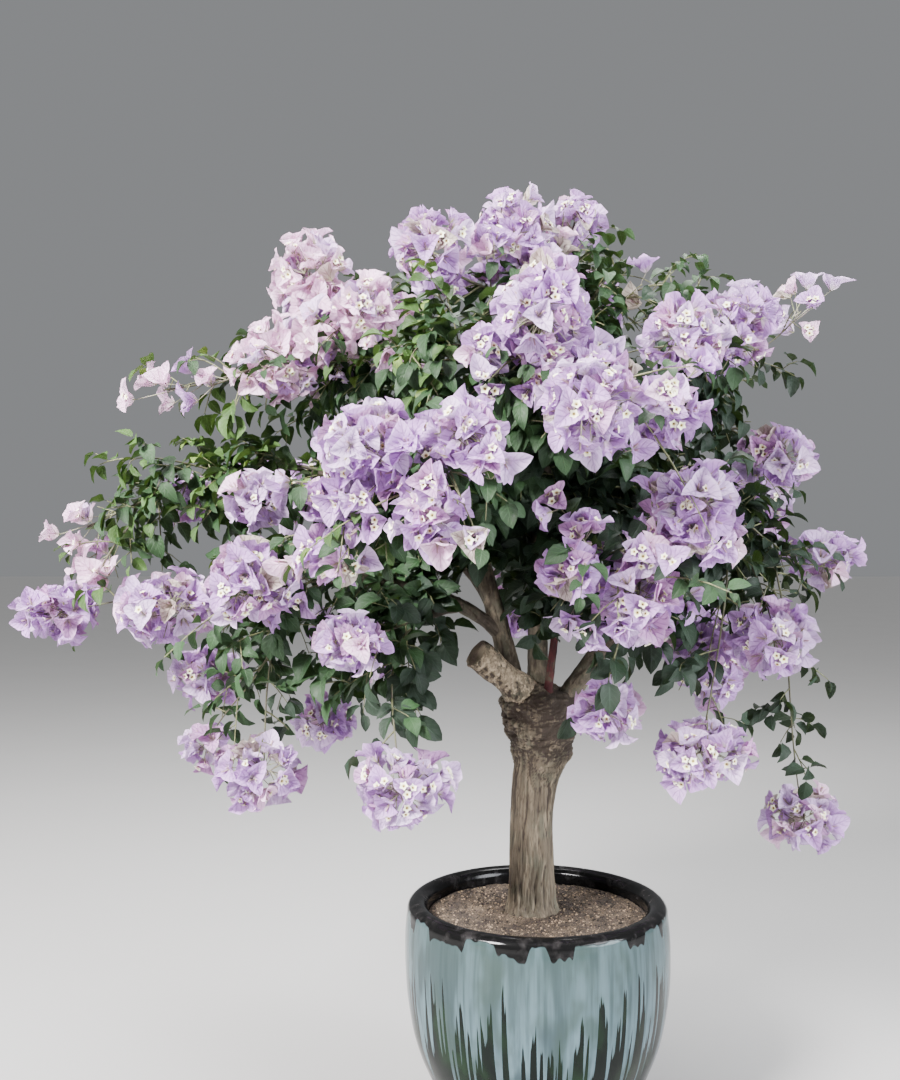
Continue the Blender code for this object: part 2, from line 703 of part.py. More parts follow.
class Mass:
    """One mass of foliage: its curves, its solids and the points that mark out its space."""

    def __init__(self, name, start, ends):
        self.name, self.ends = name, ends
        self.start, self.direction = start
        self.rng = random.Random(self.name)
        self.heads, self.stems, self.curves, self.growth = [], [], [], []

    def grow_heads(self, obstacles):
        for index, (centre, radius) in enumerate(self.ends):
            if radius:
                tag = f"{self.name} head {index}"
                self.heads.append(clear_head(centre, radius, obstacles, tag))

    def grow_stems(self, obstacles):
        start, direction = self.start, self.direction
        root, rings = STEM_ROOT, STEM_RINGS
        for end, _radius in self.ends:
            found = clear_stem(start, direction, end, root, obstacles, self.rng, rings)
            self.add_stem(found)
            start = along(self.curves[0], SIDE_STEM_AT)
            direction = heading(self.curves[0], SIDE_STEM_AT)
            root, rings = SIDE_STEM_ROOT, SIDE_STEM_RINGS

    def add_stem(self, found):
        curve, solid = found
        self.curves.append(curve)
        self.stems.append(solid)

    def marks(self):
        return [along(curve, share / 12) for curve in self.curves for share in range(13)]

    def grow_twigs(self, obstacles, own):
        stem = self.curves[0]
        count = TWIGS + 1 - len(self.ends)
        for index, (share, turn) in enumerate(twig_starts(count, self.rng)):
            for attempt in range(TWIG_TRIES):
                twig = self.grow_sprig(stem, share, turn + attempt * 1.3, obstacles, own)
                if twig:
                    break
            if twig and index < SIDE_LEAVES:
                self.grow_leaf(twig, 0.6, obstacles, own)
        self.grow_leaf(stem, 0.72, obstacles, own)

    def grow_sprig(self, stem, share, turn, obstacles, own):
        """Keeps a twig with its end leaf and gives its curve, or gives None."""
        length = TWIG_LENGTH * self.rng.uniform(0.75, 1.1) * (1.0 - 0.25 * share)
        twig = twig_curve(stem, share, turn, length)
        size, roll = LEAF_LENGTH * self.rng.uniform(0.85, 1.15), self.rng.uniform(-0.6, 0.6)
        solid = sprig(twig, TWIG_ROOT, TWIG_TIP, size, roll)
        return twig if self.keep(solid, solid[0][-1], obstacles, own) else None

    def grow_leaf(self, curve, share, obstacles, own):
        length = LEAF_LENGTH * self.rng.uniform(0.8, 1.15)
        side = self.rng.choice((-1, 1))
        solid = leaf_on(curve, share, side, length, self.rng)
        self.keep(solid, solid[0][1], obstacles, own)

    def keep(self, solid, end, obstacles, own):
        """Keeps this solid if it stays in the mass's own space and is clear of all else."""
        if not own(end) or obstacles.touches(solid):
            return False
        self.growth.append(solid)
        return True

    def solids(self):
        return self.heads + self.stems + self.growth


def space_of(masses):
    """A test, for each mass, of whether a point is nearer to its stems than to any other's."""
    marks = [(mark, mass.name) for mass in masses for mark in mass.marks()]
    tree = KDTree(len(marks))
    for index, (mark, _name) in enumerate(marks):
        tree.insert(mark, index)
    tree.balance()
    return lambda point: marks[tree.find(point)[1]][1]


def grow_masses(limbs, curves, radii):
    """Heads first, then stems, then twigs and leaves, each clear of what is there."""
    limb_solids = [solid_of(limb) for limb in limbs]
    starts = slot_starts([row[1] for row in MASSES], curves, radii)
    masses = [Mass(name, starts[name], ends) for name, ends in head_places().items()]
    crowd = Obstacles(limb_solids)
    for mass in masses:
        mass.grow_heads(crowd)
        for solid in mass.heads:
            crowd.add(solid)
    for mass in masses:
        others = [solid for other in masses if other is not mass for solid in other.solids()]
        mass.grow_stems(Obstacles(limb_solids + others))
    owner = space_of(masses)
    for mass in masses:
        others = [solid for other in masses if other is not mass for solid in other.solids()]
        name = mass.name
        mass.grow_twigs(Obstacles(limb_solids + others), lambda point: owner(point) == name)
    return masses


def make_mass(mass, materials):
    """Fuses a mass's stems, twigs, leaves and heads into one solid.

    Thin blades that cross leave doubled edges under the EXACT solver, so this is MANIFOLD.
    """
    first, *rest = mass.stems + mass.growth + mass.heads
    material = materials["bloom"] if mass.heads else materials["foliage"]
    obj = make_object(mass.name, first, material)
    combine(obj, rest, "UNION", "MANIFOLD")
    return obj


def main():
    clear_scene()
    materials = {
        "glaze": finish("glaze", GLAZE, 0.15),
        "soil": finish("soil", SOIL, 0.95),
        "bark": finish("bark", BARK, 0.90),
        "young": finish("young_bark", YOUNG_BARK, 0.80),
        "red": finish("red_bark", RED_BARK, 0.60),
        "bloom": finish("bloom", BLOOM, 0.70),
        "foliage": finish("foliage", FOLIAGE, 0.50),
    }
    make_pot(materials["glaze"])
    make_soil(materials["soil"])
    trunk = make_trunk(materials["bark"])
    curves, radii = bough_curves(), bough_radii()
    limbs = make_boughs(trunk, curves, radii, materials)
    for mass in grow_masses(limbs, curves, radii):
        make_mass(mass, materials)


main()
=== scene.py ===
"""Dresses a potted bougainvillea standard: pot, soil, bark, boughs, twigs, leaves and bracts.

The crown grows from the same limbs and by the same rule as the solids. A place on the plant is
(bearing, reach, height): degrees seen from above with 0 at the front and 90 at the right, the
reach out from the pot's axis, and the height, in metres. Each mass has a stem on its bough's
tip that arches to a head of bracts, and twigs stand out of it by the golden angle. Here the
twigs are finer, and bracts, flowers and leaves are turned copies of a few outlines, joined by
tone.
"""

import functools
import itertools
import math
import random

import bpy
import numpy as np
from bpy.props import FloatProperty, FloatVectorProperty, IntProperty, PointerProperty
from mathutils import Euler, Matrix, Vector, noise


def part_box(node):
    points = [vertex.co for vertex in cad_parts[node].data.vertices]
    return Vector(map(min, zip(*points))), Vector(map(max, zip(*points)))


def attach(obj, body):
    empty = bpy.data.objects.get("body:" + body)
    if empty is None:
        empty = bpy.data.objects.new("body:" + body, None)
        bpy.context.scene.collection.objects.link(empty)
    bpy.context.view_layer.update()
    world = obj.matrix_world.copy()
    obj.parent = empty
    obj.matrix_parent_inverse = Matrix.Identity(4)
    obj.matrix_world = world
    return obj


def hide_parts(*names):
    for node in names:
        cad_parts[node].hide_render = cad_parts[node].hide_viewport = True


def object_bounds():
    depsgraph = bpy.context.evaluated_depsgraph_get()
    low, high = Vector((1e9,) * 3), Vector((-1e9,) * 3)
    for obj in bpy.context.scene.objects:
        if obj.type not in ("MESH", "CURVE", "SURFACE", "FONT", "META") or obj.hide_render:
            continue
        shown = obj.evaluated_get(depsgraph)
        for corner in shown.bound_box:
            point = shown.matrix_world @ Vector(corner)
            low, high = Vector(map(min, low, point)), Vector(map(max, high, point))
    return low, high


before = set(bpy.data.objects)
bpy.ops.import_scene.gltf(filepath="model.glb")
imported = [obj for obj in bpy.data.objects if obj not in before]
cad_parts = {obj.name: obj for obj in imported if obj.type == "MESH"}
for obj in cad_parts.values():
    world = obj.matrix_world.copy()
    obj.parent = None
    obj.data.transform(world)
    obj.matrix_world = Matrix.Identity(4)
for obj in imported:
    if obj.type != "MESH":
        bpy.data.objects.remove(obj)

CAD_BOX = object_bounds()

bl_info = {
    "name": "Bougainvillea Standard",
    "version": (1, 0, 0),
    "blender": (4, 5, 0),
    "location": "View3D > Sidebar > Bougainvillea",
    "description": "Grows and dresses a potted bougainvillea trained as a small tree",
    "category": "Object",
}

# ---- the plant's own sizes (metres) --------------------------------------------------------

UP = Vector((0.0, 0.0, 1.0))
GOLDEN_ANGLE = math.radians(137.5)
ANY_TURN = (0, 6.28)  # radians, for a random turn

POT_OUTSIDE = (  # (radius, height) up the outer wall
    (0.130, 0.000), (0.136, 0.004), (0.152, 0.030), (0.175, 0.070), (0.207, 0.145),
    (0.221, 0.215), (0.226, 0.285), (0.2235, 0.345), (0.2215, 0.360),
)
POT_MOUTH = 0.1865
BARE_FOOT, RIM_GLAZE = 0.0045, 0.3715  # heights where the glaze and the rim's glaze start
SOIL_LEVEL = 0.357
SOIL_FALL = 0.006

TRUNK = (  # (height, radius, sideways place of its centre)
    (0.3573, 0.0470, -0.0100), (0.3700, 0.0425, -0.0098), (0.4000, 0.0395, -0.0090),
    (0.4600, 0.0385, -0.0080), (0.5400, 0.0378, -0.0056), (0.5850, 0.0405, 0.0000),
    (0.6240, 0.0490, 0.0090), (0.6550, 0.0600, 0.0100), (0.6850, 0.0670, 0.0085),
    (0.7150, 0.0650, 0.0045), (0.7350, 0.0520, 0.0030), (0.7450, 0.0300, 0.0020),
)

# Leaders: name, foot in the burl, flat tip, lift of the bow, root radius, tip radius
LEADERS = (
    ("stub_bough", (-58, 0.024, 0.722), (-62, 0.118, 0.803), 0.010, 0.0250, 0.0225),
    ("left_upright", (-95, 0.032, 0.720), (-90, 0.200, 1.260), 0.060, 0.0190, 0.0100),
    ("centre_upright", (150, 0.006, 0.730), (180, 0.010, 1.340), 0.020, 0.0170, 0.0100),
    ("right_bough", (92, 0.040, 0.705), (77, 0.277, 1.000), 0.035, 0.0190, 0.0105),
    ("back_bough", (178, 0.038, 0.710), (176, 0.280, 1.120), 0.060, 0.0170, 0.0100),
    ("red_shoot", (28, 0.032, 0.720), (40, 0.080, 1.020), 0.030, 0.0075, 0.0050),
)

# Arms: name, parent, how far along it, flat tip, lift of the bow, root radius, tip radius
ARMS = (
    ("left_arm", "left_upright", 0.42, (-93, 0.380, 1.110), 0.040, 0.0125, 0.0095),
    ("left_low_arm", "left_upright", 0.20, (-73, 0.355, 0.930), 0.060, 0.0120, 0.0095),
    ("low_left_bough", "left_low_arm", 0.30, (-66, 0.220, 0.862), 0.004, 0.0105, 0.0090),
    ("front_left_arm", "left_upright", 0.55, (-37, 0.315, 1.080), 0.050, 0.0115, 0.0095),
    ("front_arm", "centre_upright", 0.52, (5, 0.240, 1.190), 0.050, 0.0115, 0.0095),
    ("right_upper_arm", "centre_upright", 0.36, (98, 0.220, 1.200), 0.020, 0.0120, 0.0095),
    ("right_front_arm", "right_bough", 0.42, (35, 0.245, 0.970), 0.030, 0.0120, 0.0095),
    ("back_left_arm", "left_upright", 0.30, (-129, 0.385, 1.080), 0.060, 0.0120, 0.0095),
    ("back_right_arm", "right_bough", 0.55, (128, 0.315, 1.090), 0.040, 0.0120, 0.0095),
)

# Masses: name, bough, main head and side head. A head is (bearing, reach, height, radius),
# and radius 0 ends the stem in leaves.
MASSES = (
    ("crown_top", "centre_upright", (-63, 0.045, 1.520, 0.079), (125, 0.085, 1.550, 0.061)),
    ("crown_left", "centre_upright", (-66, 0.200, 1.470, 0.077), None),
    ("crown_right", "centre_upright", (106, 0.183, 1.415, 0.050), None),
    ("top_left", "left_upright", (-90, 0.390, 1.440, 0.084), (-67, 0.305, 1.370, 0.062)),
    ("left_top", "left_upright", (-83, 0.435, 1.290, 0.081), None),
    ("left_tip", "left_upright", (-90, 0.640, 1.250, 0.046), (-87, 0.550, 1.255, 0.046)),
    ("front_top", "front_arm", (-3, 0.400, 1.310, 0.091), (-15, 0.375, 1.260, 0.044)),
    ("front_mid", "front_arm", (4, 0.460, 1.170, 0.081), (24, 0.395, 1.175, 0.059)),
    ("front_leafy", "front_arm", (-36, 0.340, 1.290, 0.0), None),
    ("front_left", "front_left_arm", (-32, 0.495, 1.120, 0.088), (-40, 0.505, 1.045, 0.060)),
    ("front_centre", "front_left_arm", (-15, 0.495, 1.135, 0.059), (-21, 0.490, 1.025, 0.066)),
    ("front_left_low", "front_left_arm", (-43, 0.490, 0.970, 0.077), None),
    ("front_hang", "low_left_bough", (-42, 0.335, 0.615, 0.079), None),
    ("inner_hang", "low_left_bough", (-50, 0.390, 0.840, 0.059), None),
    ("left_under", "low_left_bough", (-98, 0.375, 0.675, 0.059), None),
    ("left_slope", "left_arm", (-99, 0.625, 1.065, 0.055), (-76, 0.480, 1.060, 0.057)),
    ("far_left_upper", "left_arm", (-90, 0.770, 1.015, 0.044), (-88, 0.740, 0.945, 0.046)),
    ("left_front_low", "left_low_arm", (-61, 0.520, 0.930, 0.073), None),
    ("far_left", "left_low_arm", (-83, 0.790, 0.875, 0.068), (-76, 0.615, 0.885, 0.077)),
    ("left_back_low", "left_low_arm", (-95, 0.570, 0.755, 0.068), None),
    ("left_hang", "left_low_arm", (-71, 0.470, 0.630, 0.069), (-88, 0.560, 0.645, 0.053)),
    ("right_top", "right_upper_arm", (81, 0.330, 1.345, 0.083), (46, 0.290, 1.310, 0.072)),
    ("right_far_top", "right_upper_arm", (96, 0.470, 1.395, 0.055), None),
    ("right_mid", "right_upper_arm", (90, 0.415, 1.135, 0.072), None),
    ("right_front", "right_front_arm", (31, 0.385, 1.040, 0.070), None),
    ("right_front_low", "right_front_arm", (20, 0.350, 0.905, 0.073), (3, 0.360, 0.950, 0.046)),
    ("right_under", "right_front_arm", (25, 0.220, 0.730, 0.062), None),
    ("right_out", "right_bough", (68, 0.395, 0.840, 0.090), (90, 0.490, 0.960, 0.064)),
    ("right_low", "right_bough", (50, 0.310, 0.665, 0.075), (79, 0.270, 0.810, 0.068)),
    ("right_hang", "right_bough", (84, 0.447, 0.525, 0.070), None),
    ("inner_right", "red_shoot", (42, 0.200, 1.110, 0.0), None),
    ("back_top", "back_bough", (180, 0.330, 1.380, 0.077), (150, 0.250, 1.440, 0.061)),
    ("back_mid", "back_bough", (172, 0.530, 1.150, 0.086), (192, 0.500, 1.050, 0.066)),
    ("back_low", "back_bough", (180, 0.440, 0.860, 0.077), None),
    ("back_left_top", "back_left_arm", (-140, 0.420, 1.330, 0.079), None),
    ("back_left_mid", "back_left_arm", (-125, 0.640, 1.090, 0.077), (-140, 0.580, 1.000, 0.066)),
    ("back_left_low", "back_left_arm", (-138, 0.500, 0.760, 0.075), None),
    ("back_right_top", "back_right_arm", (130, 0.390, 1.330, 0.077), None),
    ("back_right_mid", "back_right_arm", (118, 0.500, 1.060, 0.077), (140, 0.490, 0.980, 0.064)),
    ("back_right_low", "back_right_arm", (125, 0.440, 0.740, 0.073), None),
)

# ---- how the crown grows (metres, and shares of a length) ---------------------------------

STEM_ROOT, STEM_TIP = 0.0034, 0.0017
SIDE_STEM_ROOT = 0.0024
SIDE_STEM_AT = 0.45  # share along a stem where its side stem leaves
SWAY = 0.065  # how far a stem sways to either side
TWIG_FIRST, TWIG_LAST = 0.12, 0.97  # shares of a stem that bear twigs
LIMB_TWIGS = (0.38, 0.98, 0.5)  # the same on a bough, and how far apart its twigs stand
SHOOT_TWIGS = (0.15, 0.97, 1.7)  # and on a long shoot
BARE_BOUGHS = ("stub_bough",)
TWIG_ROOT, TWIG_TIP = 0.0015, 0.0008
TWIG_LENGTHS = (0.060, 0.125)
TWIG_TAPER = 0.42  # how much shorter a twig is at its stem's end than at its root
TWIG_CROWDING = 1.30  # over 1, twigs crowd towards their stem's root
SIDE_TWIGS = ((0.42, 2.0), (0.72, 4.3))  # share along a twig, and turn in radians
SIDE_TWIG_CHANCE = 0.75
SIDE_TWIG_LENGTHS = (0.36, 0.62)
RUNNER_LENGTH = 0.17  # a long young shoot that reaches past a head
RUNNER_FROM = (0.55, 0.80)  # shares along a stem where its runner may leave
LEAF_SIZES = (0.62, 1.20)
YOUNG_LEAF, YOUNG_LEAF_CHANCE = 0.70, 0.25  # size and share of young leaves at a sunlit tip
# Past these marks a leaf takes the painted sunlit tone, or the mid one; below both, the dark tone
# of painted shade.
PAINTED_SUNLIT_FROM, MID_FROM = 0.98, 0.40  # a leaf with more light than this is bright, or mid
SUN_FROM = Vector((-0.65, -0.45, 0.60)).normalized()
CROWN_CENTRE = Vector((-0.08, 0.0, 1.02))
POT_KEEPOUT = (0.25, 0.46)  # no leaf grows nearer the axis than this, below this height
BOX_MARGIN = 0.012  # how far growth may stand past the solids' box

# How near a head's middle growth may come, in the head's radii
TWIG_CLEAR, LEAF_CLEAR, RUNNER_CLEAR = 0.55, 0.85, 1.05
LEAF_THINNING = (1.15, 0.80)  # nearer than this, this share of the leaves is left out
END_BLOOM_RING = (0.85, 1.45)  # where twigs may flower
END_BLOOM_CHANCE = 0.50
END_BLOOMS = (1, 2, 2, 3)  # how many, by chance

BUNCHES = 6  # round bunches about a head's middle
BUNCH_SIZES, BUNCH_PLACES = (0.34, 0.52), (0.78, 1.24)  # shares of the head's reach
STRUNG_HEAD = 0.058  # heads over this radius may trail more bunches back along their stem
STRUNG_CHANCE = 0.7
STRUNG_SIZES = (0.26, 0.40)  # shares of the head's reach
HEAD_ROOM = 0.002  # between two masses' heads
HANGING_SPREAD = (1.18, 0.52)  # a hanging head spreads this much wider, and less deep
LOOSE_BLOOMS = {"left_tip": 4, "far_left_upper": 6, "right_far_top": 8, "crown_right": 2}
LOOSE_SIZE = 1.14
BLOOM_SIZES = (0.84, 1.14)
BARE_OF_BLOOM = 0.125  # no stray bloom stands nearer than this to a mass that ends in leaves

# The dark leaf tone is painted shade deep in the crown, and the sun-facing tone painted sunlight;
# new is young leaves' own colour.
LEAF_TONES = ("dark", "mid", "bright", "new")
# The sunlit bract tone is painted sunlight; the other tones are the bracts' own colours.
BLOOM_TONES = ("lilac", "pale", "mauve", "sunlit", "aged")
BLOOM_SHARES = {  # how often each tone shows in a head
    "shaded": (0.56, 0.24, 0.14, 0.03, 0.03),
    "sunlit": (0.08, 0.20, 0.02, 0.68, 0.02),
    "pale": (0.24, 0.48, 0.04, 0.18, 0.06),
}
# Masses on the sunny side take mostly the sunlit tone, as painted sunlight; pale masses take more
# pale bracts.
LIGHTER_MASSES = {
    "sunlit": ("top_left", "left_top", "left_tip", "far_left_upper", "back_left_top"),
    "pale": ("right_far_top", "left_slope", "right_hang"),
}

# How a mass grows: how much wider apart its twigs stand, how much larger its leaves are and
# how much thinner its stem is. Sparse ones hang or reach out alone and bear few leaves.
HABITS = {
    "usual": (1.00, 1.00, 1.00),
    "sparse": (1.90, 1.18, 0.66),
    "leafy": (0.50, 1.14, 1.00),
    "arching": (1.10, 1.28, 1.00),
}
UNUSUAL_MASSES = {
    "sparse": (
        "right_far_top", "far_left", "left_hang", "left_back_low", "left_under", "front_hang",
        "inner_hang", "right_hang", "right_low", "right_under", "right_out", "right_mid",
    ),
    "leafy": ("front_leafy", "inner_right", "crown_right", "right_top"),
    "arching": ("left_tip", "left_slope", "far_left_upper"),
}

# Long leafy shoots: the mass whose stem they leave, how far along it, and where they end
SHOOTS = (
    ("crown_right", 0.55, (96, 0.150, 1.475)),
    ("crown_right", 0.80, (91, 0.222, 1.430)),
    ("right_mid", 0.60, (88, 0.385, 0.985)),
    ("right_out", 0.35, (82, 0.315, 1.030)),
    ("front_leafy", 0.55, (-31, 0.335, 1.350)),
    ("front_leafy", 0.85, (-31, 0.400, 1.245)),
    ("left_slope", 0.55, (-87, 0.690, 1.120)),
    ("back_top", 0.50, (120, 0.120, 1.490)),
    ("back_left_top", 0.60, (-112, 0.300, 1.440)),
    ("back_right_top", 0.55, (108, 0.310, 1.430)),
    ("left_top", 0.40, (-108, 0.420, 1.210)),
    ("back_left_top", 0.30, (-100, 0.240, 1.290)),
)

TILES = 4  # bracts and leaves take their markings from a sheet of TILES x TILES variants
TILE_INSET = 0.04


# ---- settings ------------------------------------------------------------------------------


def colour(name, description, default):
    return FloatVectorProperty(
        name=name,
        description=description,
        subtype="COLOR",
        size=3,
        min=0.0,
        max=1.0,
        default=default,
    )


def length(name, description, default):
    return FloatProperty(name=name, description=description, unit="LENGTH", default=default)


def power(name, description, default):
    return FloatProperty(name=name, description=description, min=0.0, default=default)


def share(name, description, default):
    return FloatProperty(
        name=name, description=description, subtype="FACTOR", min=0.0, max=1.0, default=default
    )


class PotSettings(bpy.types.PropertyGroup):
    glaze: colour("Glaze", "Pale glaze that runs down the wall", (0.043, 0.067, 0.075))
    glaze_light: colour("Light glaze", "Where the pale glaze lies thick", (0.098, 0.150, 0.172))
    glaze_green: colour("Green glaze", "Where the pale glaze turns green", (0.030, 0.047, 0.041))
    under: colour("Under glaze", "Dark glaze on the lower wall", (0.003, 0.005, 0.004))
    rim: colour("Rim glaze", "Dark glaze on the rim", (0.004, 0.004, 0.004))
    clay: colour("Clay", "Bare clay on the foot", (0.210, 0.125, 0.080))
    run_top: length("Run start", "Height that the dark glaze rises to", 0.296)
    run_drop: length("Run length", "How far down the pale runs reach", 0.255)
    gloss: share("Gloss", "Roughness of the glaze", 0.10)


class SoilSettings(bpy.types.PropertyGroup):
    earth: colour("Earth", "Damp potting soil", (0.040, 0.027, 0.019))
    dry: colour("Dry earth", "Dry crumbs on top", (0.200, 0.145, 0.095))
    grains: IntProperty(name="Grains", description="Loose grains on the soil", default=4200, min=0)
    grain_size: length("Grain size", "Usual width of a grain", 0.0036)


class BarkSettings(bpy.types.PropertyGroup):
    ridge: colour("Ridges", "Weathered face of the trunk's bark", (0.114, 0.090, 0.060))
    crevice: colour("Crevices", "Depth of the trunk's bark", (0.030, 0.020, 0.013))
    lichen: colour("Lichen", "Grey-green bloom on old bark", (0.092, 0.086, 0.058))
    bough: colour("Bough", "Bark of the boughs", (0.062, 0.050, 0.037))
    shoot: colour("Red shoot", "Bark of the young red shoot", (0.050, 0.008, 0.009))
    cut: colour("Cut wood", "End grain of the sawn stub", (0.300, 0.240, 0.165))
    relief: length("Relief", "Depth of the trunk's fissures", 0.0030)


class FoliageSettings(bpy.types.PropertyGroup):
    # The dark leaf is painted shade for leaves deep in the crown.
    dark: colour("Dark leaf", "Leaves deep in the crown", (0.006, 0.019, 0.008))
    mid: colour("Mid leaf", "Most leaves", (0.012, 0.038, 0.010))
    # Painted sunlight for leaves that face the sun.
    bright: colour("Bright leaf", "Leaves in the sun", (0.036, 0.082, 0.014))
    new: colour("New leaf", "Young leaves at the tips", (0.100, 0.165, 0.025))
    twig: colour("Twig", "Bark of twigs", (0.085, 0.090, 0.040))
    leaf_length: length("Leaf length", "Length of a full-grown leaf", 0.038)
    leaf_spacing: length("Leaf spacing", "Distance between leaves on a twig", 0.0160)
    twig_spacing: length("Twig spacing", "Distance between twigs on a stem", 0.0200)


class BloomSettings(bpy.types.PropertyGroup):
    lilac: colour("Lilac bract", "Most bracts", (0.570, 0.318, 0.690))
    pale: colour("Pale bract", "Younger, paler bracts", (0.690, 0.510, 0.790))
    mauve: colour("Mauve bract", "Deeper, pinker bracts", (0.560, 0.290, 0.560))
    # Painted sunlight: bracts on the sunny side made paler and pinker, not bleached.
    sunlit: colour("Sunlit bract", "Bracts bleached by the sun", (0.930, 0.650, 0.850))
    aged: colour("Aged bract", "Bracts that dry out", (0.520, 0.450, 0.370))
    flower: colour("Flower", "Small true flowers", (0.920, 0.890, 0.680))
    bract_length: length("Bract length", "Length of a full-grown bract", 0.0350)
    unit_spacing: length("Bloom spacing", "Distance between blooms on a head", 0.0418)


class StageSettings(bpy.types.PropertyGroup):
    floor: colour("Floor", "Pale floor", (0.38, 0.375, 0.37))
    air: colour("Air", "Soft light from all round", (0.80, 0.82, 0.85))
    even: power("Even light", "Light from above, far and near", 1.30)
    key: power("Key light", "Large soft light, front left", 1030.0)


SETTINGS = {
    "pot": PotSettings,
    "soil": SoilSettings,
    "bark": BarkSettings,
    "foliage": FoliageSettings,
    "bloom": BloomSettings,
    "stage": StageSettings,
}


def settings(group):
    return getattr(bpy.context.scene, "bougainvillea_" + group)


# ---- finishes ------------------------------------------------------------------------------


def tinted(colour, factor, lift=0.0):
    """The colour made lighter or darker, and no lighter than white."""
    return tuple(min(1.0, c * factor + lift) for c in colour)


class Value:
    """What a node gives. Python's own operators work on it by adding Math nodes."""

    def __init__(self, finish, output):
        self.finish, self.output = finish, output

    def math(self, operation, *others):
        values = dict(enumerate((self, *others)))
        return self.finish.node("Math", {"operation": operation}, values)

    def __add__(self, other):
        return self.math("ADD", other)

    def __sub__(self, other):
        return self.math("SUBTRACT", other)

    def __rsub__(self, other):
        return (self * -1.0) + other

    def __mul__(self, other):
        return self.math("MULTIPLY", other)

    __radd__, __rmul__ = __add__, __mul__

    def size(self):
        return self.math("ABSOLUTE")

    def part(self):
        return self.math("FRACT")

    def larger(self, other):
        return self.math("MAXIMUM", other)

    def smaller(self, other):
        return self.math("MINIMUM", other)

    def rise(self, low, high):
        """Climbs smoothly from 0 at low to 1 at high."""
        ends = {"From Min": low, "From Max": high, "Value": self}
        return self.finish.node("MapRange", {"interpolation_type": "SMOOTHSTEP"}, ends)

    def fall(self, low, high):
        """Drops smoothly from 1 at low to 0 at high."""
        return 1.0 - self.rise(low, high)

    def line(self, width):
        """1 where this value is a whole number, fading to 0 this far to each side of it."""
        return ((self + 0.5).part() - 0.5).size().fall(width * 0.25, width)


class Finish:
    """A material and its node tree. Every node comes from node()."""

    def __init__(self, name, sheen=0.5):
        self.material = bpy.data.materials.new(name)
        self.material.use_nodes = True
        self.tree = self.material.node_tree
        self.shader = self.tree.nodes["Principled BSDF"]
        self.shader.inputs["Specular IOR Level"].default_value = sheen

    def feed(self, socket, value):
        if isinstance(value, Value):
            self.tree.links.new(value.output, socket)
        elif socket.type == "RGBA" and len(value) == 3:
            socket.default_value = (*value, 1.0)
        else:
            socket.default_value = value

    def node(self, kind, plain=None, sockets=None, output=0):
        """Adds a node: first its plain settings or ramp stops, then its sockets."""
        made = self.tree.nodes.new("ShaderNode" + kind)
        plain = dict(plain or {})
        stops = plain.pop("stops", ())
        for key, value in plain.items():
            setattr(made, key, value)
        for index, (position, value) in enumerate(stops):
            elements = made.color_ramp.elements
            stop = elements[index] if index < len(elements) else elements.new(1.0)
            stop.position, stop.color = position, (*value, 1.0)
        for key, value in (sockets or {}).items():
            self.feed(made.inputs[key], value)
        return Value(self, made.outputs[output])

    def place(self):
        return self.node("TexCoord", output="Object")

    def sheet(self):
        return self.node("UVMap", {"uv_map": "OFBake"})

    def held(self, name):
        """A value that the mesh holds at each point."""
        return self.node("Attribute", {"attribute_name": name}, output="Fac")

    def squashed(self, vector, share):
        """The place with its height cut to this share, which draws marks out upwards."""
        return self.vector("MULTIPLY", vector, (1.0, 1.0, share))

    def vector(self, operation, first, second=(0.0, 0.0, 0.0)):
        return self.node("VectorMath", {"operation": operation}, {0: first, 1: second})

    def axis(self, vector, name):
        return self.node("SeparateXYZ", sockets={0: vector}, output=name)

    def noise(self, vector, scale, detail=3.0, roughness=0.55):
        sockets = {"Vector": vector, "Scale": scale, "Detail": detail, "Roughness": roughness}
        return self.node("TexNoise", sockets=sockets)

    def cells(self, vector, scale, feature="F1"):
        sockets = {"Vector": vector, "Scale": scale}
        return self.node("TexVoronoi", {"feature": feature}, sockets, "Distance")

    def mix(self, share, first, second):
        return self.node("Mix", {"data_type": "RGBA"}, {0: share, 6: first, 7: second}, 2)

    def washed(self, base, *washes):
        """The base tone with each (share, tone) laid over it in turn."""
        for share, tone in washes:
            base = self.mix(share, base, tone)
        return base

    def paint(self, tone, roughness, *relief):
        """Feeds the shader. Relief is a height, its depth in metres and how strong it shows."""
        self.feed(self.shader.inputs["Base Color"], tone)
        self.feed(self.shader.inputs["Roughness"], roughness)
        if relief:
            sockets = dict(zip(("Height", "Distance", "Strength"), relief))
            bump = self.node("Bump", sockets=sockets, output="Normal")
            self.feed(self.shader.inputs["Normal"], bump)
        return self.material

    def let_light_through(self, colour, share):
        """Mixes in light that passes through a thin blade."""
        thin = self.node("BsdfTranslucent", sockets={"Color": colour})
        body = Value(self, self.shader.outputs[0])
        mixed = self.node("MixShader", sockets={0: share, 1: body, 2: thin})
        ends = [node for node in self.tree.nodes if node.type == "OUTPUT_MATERIAL"]
        self.feed(ends[0].inputs["Surface"], mixed)


def sheet_marks(finish):
    """Where a point lies on its own blade: across from the midrib, along, and its variant."""
    sheet = finish.vector("MULTIPLY", finish.sheet(), (TILES, TILES, 1.0))
    across = (finish.axis(sheet, "X").part() * 2.0 - 1.0).size()
    along_blade = finish.axis(sheet, "Y").part()
    tile = finish.vector("FLOOR", sheet)
    chance = finish.node("TexWhiteNoise", {"noise_dimensions": "3D"}, {"Vector": tile}, "Value")
    return sheet, across, along_blade, chance


